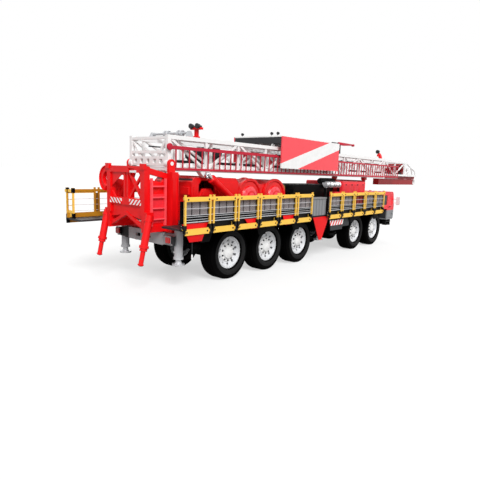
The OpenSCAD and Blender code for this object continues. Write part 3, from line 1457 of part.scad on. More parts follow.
board_x0 = pivot_x + 3870;
board_x1 = board_x0 + board_len;
board_z0 = mast_z0 + 180;
board_z1 = board_z0 + board_h;
board_y = 910;
board_t = 40;
board_floor_z = mast_z1 + 100;
board_hinge = [board_x0 + 20, board_floor_z - 60];
board_lug_r = 40;
board_pin_r = 24;
board_lug_y = [upper_cy + 25, mast_y - chord - 5];
fingers = 17;
finger_w = 46;
plank_y = 130;
module racking_board() {
    inner = board_y - board_t;
    step = (board_len - 200) / (fingers - 1);
    f = board_floor_z;
    color([0.95, 0.2, 0.25]) place() union() {
        both_sides() {
            side_plate(rounded(board_x0, board_z0, board_x1, board_z1, 12), inner, board_y);
            box([board_x0 + 1, mast_y + 40, f + 1], [board_x1 - 1, inner + 1, f + 50]);
            for (k = [0 : fingers - 1]) box([board_x0 + 80 + k * step, 260, f],
                [board_x0 + 80 + finger_w + k * step, inner + 1, f + 60]);
            // brackets and ribs on the inside of the walls
            for (k = [0 : 4]) side_rib(board_x0 + 120 + k * (board_len - 300) / 4, inner);
            difference() {
                union() {
                    bar_y(board_hinge.x, board_hinge.y, board_lug_r, board_lug_y[0], board_lug_y[1]);
                    box([board_hinge.x - 18, board_lug_y[0], board_hinge.y],
                        [board_hinge.x + 36, board_lug_y[1], f + 1]);
                }
                bar_y(board_hinge.x, board_hinge.y, board_pin_r + pin_gap, upper_cy, upper_cy + 100);
            }
        }
        box([board_x0 + 2, -plank_y, f + 4], [board_x1 - 2, plank_y, f + 44]);
        for (x = [board_x0, board_x1 - 60]) box([x, -inner - 1, f], [x + 60, inner + 1, f + 150]);
        // cross tie and lamps over the rear end
        box([board_x0, -inner - 1, board_z1 - 50], [board_x0 + 50, inner + 1, board_z1 - 2]);
        for (s = [-1, 0, 1])
            box([board_x0 + 8, s * 330 - 25, f + 149], [board_x0 + 42, s * 330 + 25, board_z1 - 49]);
        for (y = [-720, -500, 600]) board_lamp(board_x0 + 25, y);
    }
}

module side_rib(x, inner) {
    translate([x + 30, 0, 0]) rotate([0, 0, 90]) side_plate([
        [inner - 70, board_floor_z + 1], [inner + 1, board_floor_z + 1], [inner + 1, board_floor_z - 150]
    ], 0, 30);
    box([x, inner - 24, board_floor_z + 59], [x + 30, inner + 1, board_z1 - 20]);
}

module board_lamp(x, y) {
    box([x - 12, y - 12, board_z1 - 3], [x + 12, y + 12, board_z1 + 40]);
    turned_x(x - 20, y, board_z1 + 70, [[0, 0], [38, 0], [42, 12], [34, 60], [0, 80]]);
}

chassis_frame();
axle_beams();
deck();
walkway_brackets();
gratings();
railings();
rear_bumper();
side_boxes();
jack_housings();
mast_base();
mast_rest();
drawworks_housing();
drum_guards();
engine();
exhaust_pipe();
radiator_hood();
cab_shell();
cab_glass();
cab_seats();
lamps();
cab_door(left);  // door_left
cab_door(right);  // door_right
knuckle(3, left);  // knuckle_4l
knuckle(3, right);  // knuckle_4r
knuckle(4, left);  // knuckle_5l
knuckle(4, right);  // knuckle_5r
tyre(0, left);  // tyre_1l
tyre(0, right);  // tyre_1r
tyre(1, left);  // tyre_2l
tyre(1, right);  // tyre_2r
tyre(2, left);  // tyre_3l
tyre(2, right);  // tyre_3r
tyre(3, left);  // tyre_4l
tyre(3, right);  // tyre_4r
tyre(4, left);  // tyre_5l
tyre(4, right);  // tyre_5r
rim(0, left);  // rim_1l
rim(0, right);  // rim_1r
rim(1, left);  // rim_2l
rim(1, right);  // rim_2r
rim(2, left);  // rim_3l
rim(2, right);  // rim_3r
rim(3, left);  // rim_4l
rim(3, right);  // rim_4r
rim(4, left);  // rim_5l
rim(4, right);  // rim_5r
jack(rear_jack_x, left);  // jack_rear_left
jack(rear_jack_x, right);  // jack_rear_right
jack(front_jack_x, left);  // jack_front_left
jack(front_jack_x, right);  // jack_front_right
leg_screw(left);  // leg_screw_left
leg_screw(right);  // leg_screw_right
raise_barrels();
raise_rods();
mast_lower();
mast_ladder();
mast_fittings();
mast_upper();
crown_block();
racking_board();
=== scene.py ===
"""A truck-mounted workover rig with its mast lying down: finishes, small parts, floor, light and camera."""

import json
import logging
import math
from collections.abc import Callable, Iterable, Sequence
from dataclasses import dataclass
from enum import Enum
from functools import cache

import bmesh
import bpy
from mathutils import Matrix, Vector

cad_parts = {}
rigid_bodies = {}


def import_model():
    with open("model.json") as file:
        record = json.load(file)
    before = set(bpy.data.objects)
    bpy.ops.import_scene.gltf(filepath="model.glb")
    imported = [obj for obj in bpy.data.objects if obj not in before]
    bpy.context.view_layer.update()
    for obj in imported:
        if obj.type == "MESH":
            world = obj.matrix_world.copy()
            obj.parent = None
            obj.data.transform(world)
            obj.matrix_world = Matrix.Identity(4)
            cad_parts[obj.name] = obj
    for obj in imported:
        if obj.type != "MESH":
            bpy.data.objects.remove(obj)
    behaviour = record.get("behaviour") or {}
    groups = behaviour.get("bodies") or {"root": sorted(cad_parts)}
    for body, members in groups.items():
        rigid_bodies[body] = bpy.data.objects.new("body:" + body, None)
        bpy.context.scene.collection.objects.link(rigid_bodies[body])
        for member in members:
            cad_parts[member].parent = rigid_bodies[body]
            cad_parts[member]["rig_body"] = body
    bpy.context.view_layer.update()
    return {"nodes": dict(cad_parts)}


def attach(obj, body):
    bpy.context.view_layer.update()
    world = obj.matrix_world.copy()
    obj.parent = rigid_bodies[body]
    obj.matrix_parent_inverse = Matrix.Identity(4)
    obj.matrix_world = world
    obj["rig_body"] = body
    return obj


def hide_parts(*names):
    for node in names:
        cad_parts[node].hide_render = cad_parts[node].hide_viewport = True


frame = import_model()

Colour = tuple[float, float, float]
Place = tuple[float, float, float]
Corner = tuple[float, float]

LOG = logging.getLogger("workover_rig")
MID_X = 5.8025
AXLES = (0, 1550, 3100, 6780, 8355)
WHEEL_Y = 895
TYRE_R = 0.670
BAY = 825
DRUMS = (1270, 2410)
DRUM_Z = 1974
TAIL, NOSE = -3000, 9000
TREAD_WAVE, NET_WAVE, THREAD_WAVE = 130.0, 150.0, 1900.0
NET_HOLE, HOLE_SHADE = 0.42, 0.75
RELIEF_DEPTH = 0.004
DUST_FADE = 1.1
SCUFF = 0.12
COAT_ROUGHNESS = 0.18


class Tone(Enum):
    """The paints and bare surfaces of the rig, and the colours of painted shade and painted highlights, as
    linear colours.
    """

    RED = (0.80, 0.003, 0.005)
    CORAL = (0.86, 0.030, 0.045)
    ROSE = (0.92, 0.085, 0.105)
    CRIMSON = (0.50, 0.018, 0.040)
    MAROON = (0.30, 0.008, 0.010)
    YELLOW = (0.93, 0.56, 0.085)
    OCHRE = (0.50, 0.22, 0.012)
    UMBER = (0.20, 0.10, 0.020)
    WHITE = (0.86, 0.86, 0.855)
    PALE_GREY = (0.52, 0.53, 0.55)
    BUMPER_GREY = (0.36, 0.365, 0.375)
    MID_GREY = (0.24, 0.245, 0.255)
    DARK_GREY = (0.035, 0.036, 0.039)
    BLACK = (0.0022, 0.0022, 0.0025)
    RUBBER = (0.0010, 0.0010, 0.0012)
    SIDEWALL = (0.012, 0.012, 0.0125)
    SILVER = (0.72, 0.73, 0.75)
    MESH = (0.36, 0.32, 0.325)
    GOLD = (0.36, 0.18, 0.035)
    LENS = (0.80, 0.82, 0.84)
    LENS_RED = (0.55, 0.010, 0.010)
    CLOTH = (0.045, 0.047, 0.052)
    DUST = (0.20, 0.18, 0.155)


class Relief(Enum):
    """The fine surface shapes: how strongly each bends the light, and the scale and octaves of its noise."""

    SMOOTH = (0.035, 38.0, 3.0)
    CAST = (0.30, 95.0, 3.0)
    RUBBER = (0.30, 160.0, 4.0)
    BRUSHED = (0.10, 420.0, 2.0)
    TREAD_PLATE = (0.55, 0.0, 0.0)
    EXPANDED = (0.75, 0.0, 0.0)
    WEAVE = (0.45, 0.0, 0.0)


class Side(Enum):
    """The two long sides of the carrier, by the sign of y."""

    LEFT = 1
    RIGHT = -1


RUNS = ((-2020, 6, Side.RIGHT), (-2845, 7, Side.LEFT), (3885, 5, Side.RIGHT), (3885, 5, Side.LEFT))


def spot(x: float, y: float, z: float) -> Vector:
    """The point in the row frame, in metres, of a drawing point.

    Args:
        x: Distance ahead of the first axle, in mm.
        y: Distance to the left, in mm.
        z: Height above the road, in mm.

    Returns:
        The point.
    """
    return Vector((x / 1000 - MID_X, y / 1000, z / 1000))


def outline(y: float, *corners: Corner) -> list[Vector]:
    """The points of an outline that stands across y.

    Args:
        y: Its place on y, in mm.
        *corners: Its x and z, in mm.

    Returns:
        The points in metres.
    """
    return [spot(x, y, z) for x, z in corners]


class Painter:
    """A material's node tree, painted layer on layer over Object coordinates."""

    def __init__(self, name: str) -> None:
        """Starts a material.

        Args:
            name: Its name.
        """
        self.material = bpy.data.materials.new(name)
        self.material.use_nodes = True
        self.tree = self.material.node_tree
        self.tree.nodes.clear()
        self.output = self.node("ShaderNodeOutputMaterial")
        self.surface = self.node("ShaderNodeBsdfPrincipled")
        self.join(self.surface.outputs["BSDF"], self.output.inputs["Surface"])
        self.point = self.node("ShaderNodeTexCoord").outputs["Object"]
        split = self.node("ShaderNodeSeparateXYZ")
        self.join(self.point, split.inputs[0])
        self.x, self.y, self.z = split.outputs

    def node(self, kind: str, **settings: object) -> bpy.types.Node:
        """Adds a node.

        Args:
            kind: Its type.
            **settings: Properties set on it.

        Returns:
            The node.
        """
        made = self.tree.nodes.new(kind)
        for key, value in settings.items():
            setattr(made, key, value)
        return made

    def join(self, source: object, target: bpy.types.NodeSocket) -> None:
        """Links a socket to an input, or sets a number or a colour on it.

        Args:
            source: A socket, a number or a colour.
            target: The input.
        """
        if isinstance(source, bpy.types.NodeSocket):
            self.tree.links.new(source, target)
        else:
            target.default_value = (*source, 1.0) if isinstance(source, tuple) else source

    def feed(self, node: bpy.types.Node, sources: dict[str | int, object]) -> bpy.types.NodeSocket:
        """Joins a source to each named or numbered input of a node.

        Args:
            node: The node.
            sources: The sources by input.

        Returns:
            The node's first output.
        """
        for key, source in sources.items():
            self.join(source, node.inputs[key])
        return node.outputs[0]

    def math(self, operation: str, *values: object) -> bpy.types.NodeSocket:
        """Adds a Math node and returns its result.

        Args:
            operation: The node's operation.
            *values: Sockets or numbers for its inputs.

        Returns:
            The result socket.
        """
        return self.feed(self.node("ShaderNodeMath", operation=operation), dict(enumerate(values)))

    def both(self, *masks: object) -> bpy.types.NodeSocket:
        """Multiplies masks, so that the result is 1 where all of them are.

        Args:
            *masks: Sockets or numbers.

        Returns:
            The product socket.
        """
        result = masks[0]
        for mask in masks[1:]:
            result = self.math("MULTIPLY", result, mask)
        return result

    def between(self, value: object, low: float, high: float) -> bpy.types.NodeSocket:
        """A mask that is 1 where a value lies from low to high."""
        return self.math("COMPARE", value, (low + high) / 2, (high - low) / 2)

    def noise(self, scale: float, detail: float) -> bpy.types.NodeSocket:
        """A noise over the piece, about 0.3 to 0.7, of a scale in waves per metre and a number of octaves."""
        made = self.node("ShaderNodeTexNoise")
        return self.feed(made, {"Vector": self.point, "Scale": scale, "Detail": detail})

    def lay(self, under: object, over: object, mask: object, way: str = "MIX") -> bpy.types.NodeSocket:
        """Lays one colour over another where a mask is 1.

        Args:
            under: Colour or socket below.
            over: Colour or socket on top.
            mask: Share of the top one.
            way: How the two are mixed.

        Returns:
            The mixed colour socket.
        """
        made = self.node("ShaderNodeMix", data_type="RGBA", blend_type=way)
        self.feed(made, {0: mask, 6: under, 7: over})
        return made.outputs[2]

    def blend(self, under: object, over: object, mask: object) -> bpy.types.NodeSocket:
        """Mixes two numbers by a mask."""
        return self.feed(self.node("ShaderNodeMix", data_type="FLOAT"), {0: mask, 2: under, 3: over})


@dataclass(frozen=True)
class Zone:
    """A box, in drawing mm, in which a node has another paint, or painted shade or a painted highlight.

    With mirrored, y is the distance from the middle plane on either side.
    """

    low: Place
    high: Place
    tone: Tone
    roughness: float = 0.4
    metallic: float = 0.0
    mirrored: bool = True

    def mask(self, painter: Painter) -> bpy.types.NodeSocket:
        """A mask that is 1 in the box.

        Args:
            painter: The tree it is built in.

        Returns:
            The mask socket.
        """
        low, high = spot(*self.low), spot(*self.high)
        across = painter.math("ABSOLUTE", painter.y) if self.mirrored else painter.y
        return painter.both(
            painter.between(painter.x, low.x, high.x),
            painter.between(across, low.y, high.y),
            painter.between(painter.z, low.z, high.z),
        )


@dataclass(frozen=True)
class StripeZone(Zone):
    """Slanting stripes in a box: weights times x, |y| and z, cut into bars of one pitch."""

    weights: Place = (0.0, 1.0, 1.0)
    pitch: float = 120
    share: float = 0.5

    def mask(self, painter: Painter) -> bpy.types.NodeSocket:
        """A mask that is 1 on the stripes in the box.

        Args:
            painter: The tree it is built in.

        Returns:
            The mask socket.
        """
        across = painter.math("ABSOLUTE", painter.y)
        total: object = 0.0
        for weight, axis in zip(self.weights, (painter.x, across, painter.z)):
            total = painter.math("MULTIPLY_ADD", axis, weight * 1000 / self.pitch, total)
        bars = painter.math("LESS_THAN", painter.math("FRACT", total), self.share)
        return painter.both(super().mask(painter), bars)


@dataclass(frozen=True)
class JointZone(Zone):
    """The parts of a box round the joints of a run of railing bays."""

    start: float = 0.0
    half: float = 64

    def mask(self, painter: Painter) -> bpy.types.NodeSocket:
        """A mask that is 1 near the joints in the box.

        Args:
            painter: The tree it is built in.

        Returns:
            The mask socket.
        """
        shift = 0.5 - (self.start / 1000 - MID_X) * 1000 / BAY
        part = painter.math("FRACT", painter.math("MULTIPLY_ADD", painter.x, 1000 / BAY, shift))
        near = painter.between(part, 0.5 - self.half / BAY, 0.5 + self.half / BAY)
        return painter.both(super().mask(painter), near)


@dataclass(frozen=True)
class SlantZone(Zone):
    """The part of a box between two parallel slanting lines z = rise * x + low_line or high_line."""

    rise: float = 0.0
    low_line: float = 0.0
    high_line: float = 0.0

    def mask(self, painter: Painter) -> bpy.types.NodeSocket:
        """A mask that is 1 between the lines in the box.

        Args:
            painter: The tree it is built in.

        Returns:
            The mask socket.
        """
        lean = painter.math("MULTIPLY_ADD", painter.x, -self.rise, -self.rise * MID_X)
        line = painter.math("ADD", painter.z, lean)
        band = painter.between(line, self.low_line / 1000, self.high_line / 1000)
        return painter.both(super().mask(painter), band)


@dataclass(frozen=True)
class RoundZone(Zone):
    """The part of a box in a ring about a line through centre, along y or else along x."""

    centre: Corner = (0.0, 0.0)
    inner: float = 0.0
    outer: float = 100.0
    along_y: bool = True

    def mask(self, painter: Painter) -> bpy.types.NodeSocket:
        """A mask that is 1 in the ring in the box.

        Args:
            painter: The tree it is built in.

        Returns:
            The mask socket.
        """
        first, shift = (painter.x, MID_X) if self.along_y else (painter.y, 0.0)
        one = painter.math("SUBTRACT", first, self.centre[0] / 1000 - shift)
        two = painter.math("SUBTRACT", painter.z, self.centre[1] / 1000)
        squares = painter.math("ADD", painter.math("MULTIPLY", one, one), painter.math("MULTIPLY", two, two))
        ring = painter.between(painter.math("SQRT", squares), self.inner / 1000, self.outer / 1000)
        return painter.both(super().mask(painter), ring)


@dataclass(frozen=True)
class Finish:
    """A surface finish: its base paint, how it varies, its relief and the zones painted over it."""

    name: str
    tone: Tone
    roughness: float = 0.42
    metallic: float = 0.0
    coat: float = 0.0
    gloss: float = 0.25
    mottle: float = 0.10
    grain: float = 7.0
    dust: float = 0.05
    relief: Relief = Relief.SMOOTH
    zones: tuple[Zone, ...] = ()

    def height(self, painter: Painter) -> bpy.types.NodeSocket:
        """The relief's height over the piece.

        Args:
            painter: The tree it is built in.

        Returns:
            The height socket.
        """

        def wave(value: object, turns: float) -> bpy.types.NodeSocket:
            """A sine wave over a value."""
            return painter.math("SINE", painter.math("MULTIPLY", value, turns))

        x, y, z = painter.x, painter.y, painter.z
        if self.relief is Relief.TREAD_PLATE:
            one, two = (wave(painter.math(way, x, y), TREAD_WAVE) for way in ("ADD", "SUBTRACT"))
            return painter.math("MAXIMUM", painter.math("MULTIPLY", one, two), 0.2)
        if self.relief is Relief.EXPANDED:
            slants = [painter.math("MULTIPLY", x, lean) for lean in (NET_WAVE / 2, -NET_WAVE / 2)]
            sums = [painter.math("MULTIPLY_ADD", z, NET_WAVE, slant) for slant in slants]
            one, two = (painter.math("SINE", total) for total in sums)
            return painter.math("ABSOLUTE", painter.math("MULTIPLY", one, two))
        if self.relief is Relief.WEAVE:
            warp, weft = (wave(value, THREAD_WAVE) for value in (y, painter.math("ADD", x, z)))
            return painter.math("MULTIPLY", warp, weft)
        return painter.noise(*self.relief.value[1:])

    def material(self) -> bpy.types.Material:
        """Builds the finish: paint and zones, mottling, dust that settles low, scuffs and relief.

        Returns:
            The node-based material.
        """
        painter = Painter(self.name)
        colour: object = self.tone.value
        rough: object = self.roughness
        metal: object = self.metallic
        for zone in self.zones:
            mask = zone.mask(painter)
            colour = painter.lay(colour, zone.tone.value, mask)
            rough = painter.blend(rough, zone.roughness, mask)
            metal = painter.blend(metal, zone.metallic, mask)
        height = self.height(painter)
        if self.relief is Relief.EXPANDED:
            holes = painter.math("GREATER_THAN", height, NET_HOLE)
            colour = painter.lay(colour, Tone.DARK_GREY.value, painter.math("MULTIPLY", holes, HOLE_SHADE))
        blotches = painter.noise(self.grain, 5.0)
        shade = painter.math("MULTIPLY_ADD", blotches, self.mottle * 2, 1.0 - self.mottle)
        grey = painter.feed(painter.node("ShaderNodeCombineColor"), dict.fromkeys(range(3), shade))
        mottled = painter.lay(colour, grey, 1.0, "MULTIPLY")
        low = painter.math("SUBTRACT", 1.0, painter.math("MULTIPLY", painter.z, DUST_FADE))
        grime = painter.both(painter.math("MAXIMUM", low, 0.0), painter.noise(3.0, 6.0), self.dust * 2)
        scuff = painter.math("MULTIPLY_ADD", painter.noise(22.0, 6.0), SCUFF * 2, -SCUFF)
        bump = painter.feed(painter.node("ShaderNodeBump"), {
            "Strength": self.relief.value[0],
            "Distance": RELIEF_DEPTH,
            "Height": height,
        })
        painter.feed(painter.surface, {
            "Base Color": painter.lay(mottled, Tone.DUST.value, grime),
            "Roughness": painter.math("ADD", rough, scuff),
            "Metallic": metal,
            "Specular IOR Level": self.gloss,
            "Coat Weight": self.coat,
            "Coat Roughness": COAT_ROUGHNESS,
            "Normal": bump,
        })
        return painter.material


@dataclass(frozen=True)
class GlassFinish:
    """Tinted cab glass."""

    name: str = "tinted_glass"
    tint: Colour = (0.11, 0.13, 0.14)
    cloudy: Colour = (0.16, 0.18, 0.19)

    def material(self) -> bpy.types.Material:
        """Builds the glass as a material.

        Returns:
            The node-based material.
        """
        painter = Painter(self.name)
        painter.feed(painter.surface, {
            "Base Color": painter.lay(self.tint, self.cloudy, painter.noise(2.5, 2.0)),
            "Roughness": painter.math("MULTIPLY_ADD", painter.noise(9.0, 4.0), 0.10, 0.01),
            "Transmission Weight": 0.85,
            "IOR": 1.45,
        })
        return painter.material


@cache
def material_of(finish: Finish | GlassFinish) -> bpy.types.Material:
    """The material of a finish, made at its first use."""
    return finish.material()


RED_PAINT = Finish("red_paint", Tone.RED, coat=0.08)
# Rose for the drum hubs: a painted highlight on the red covers.
ROSE_HIGHLIGHT = Finish("rose_paint", Tone.ROSE, coat=0.1)
WHITE_PAINT = Finish("white_paint", Tone.WHITE, mottle=0.05)
YELLOW_PAINT = Finish("yellow_paint", Tone.YELLOW)
BLACK_PAINT = Finish("black_paint", Tone.BLACK, roughness=0.5, gloss=0.06, relief=Relief.CAST)
MAROON_PAINT = Finish("maroon_mesh", Tone.MAROON, relief=Relief.EXPANDED)
MAROON_SMOOTH = Finish("maroon_paint", Tone.MAROON)
CRIMSON_PAINT = Finish("crimson_paint", Tone.CRIMSON)
MESH_SHEET = Finish(
    "mesh_sheet", Tone.MESH, roughness=0.5, metallic=0.2, relief=Relief.EXPANDED, mottle=0.2, grain=2.0
)
DARK_STEEL = Finish("dark_steel", Tone.DARK_GREY, roughness=0.45, metallic=0.5, relief=Relief.CAST)
RUBBER = Finish(
    "tyre_rubber", Tone.RUBBER, roughness=0.85, gloss=0.015, relief=Relief.RUBBER, mottle=0.25, dust=0.015
)
SIDEWALL = Finish(
    "tyre_sidewall", Tone.SIDEWALL, roughness=0.6, gloss=0.10, relief=Relief.RUBBER, mottle=0.25, dust=0.01
)
HUB_WHITE = Finish("hub_white", Tone.WHITE, roughness=0.35, mottle=0.04)
SEAT_CLOTH = Finish("seat_cloth", Tone.CLOTH, roughness=0.9, relief=Relief.WEAVE, mottle=0.3, grain=60)
AMBER_LENS = Finish("amber_lens", Tone.OCHRE, roughness=0.15, coat=1.0)
KNUCKLE_BLACK = Finish("knuckle_black", Tone.BLACK, roughness=0.55, gloss=0.08, relief=Relief.CAST, dust=0.05)

BOARD_SIDE = ((2240, 869.5, 2790), (5600, 1000, 3720))
GUARD = ((4130, 1488, 1085), (5200, 1600, 1252))
LAMP_POST = ((-950, -900, 3500), (-700, -300, 3800))

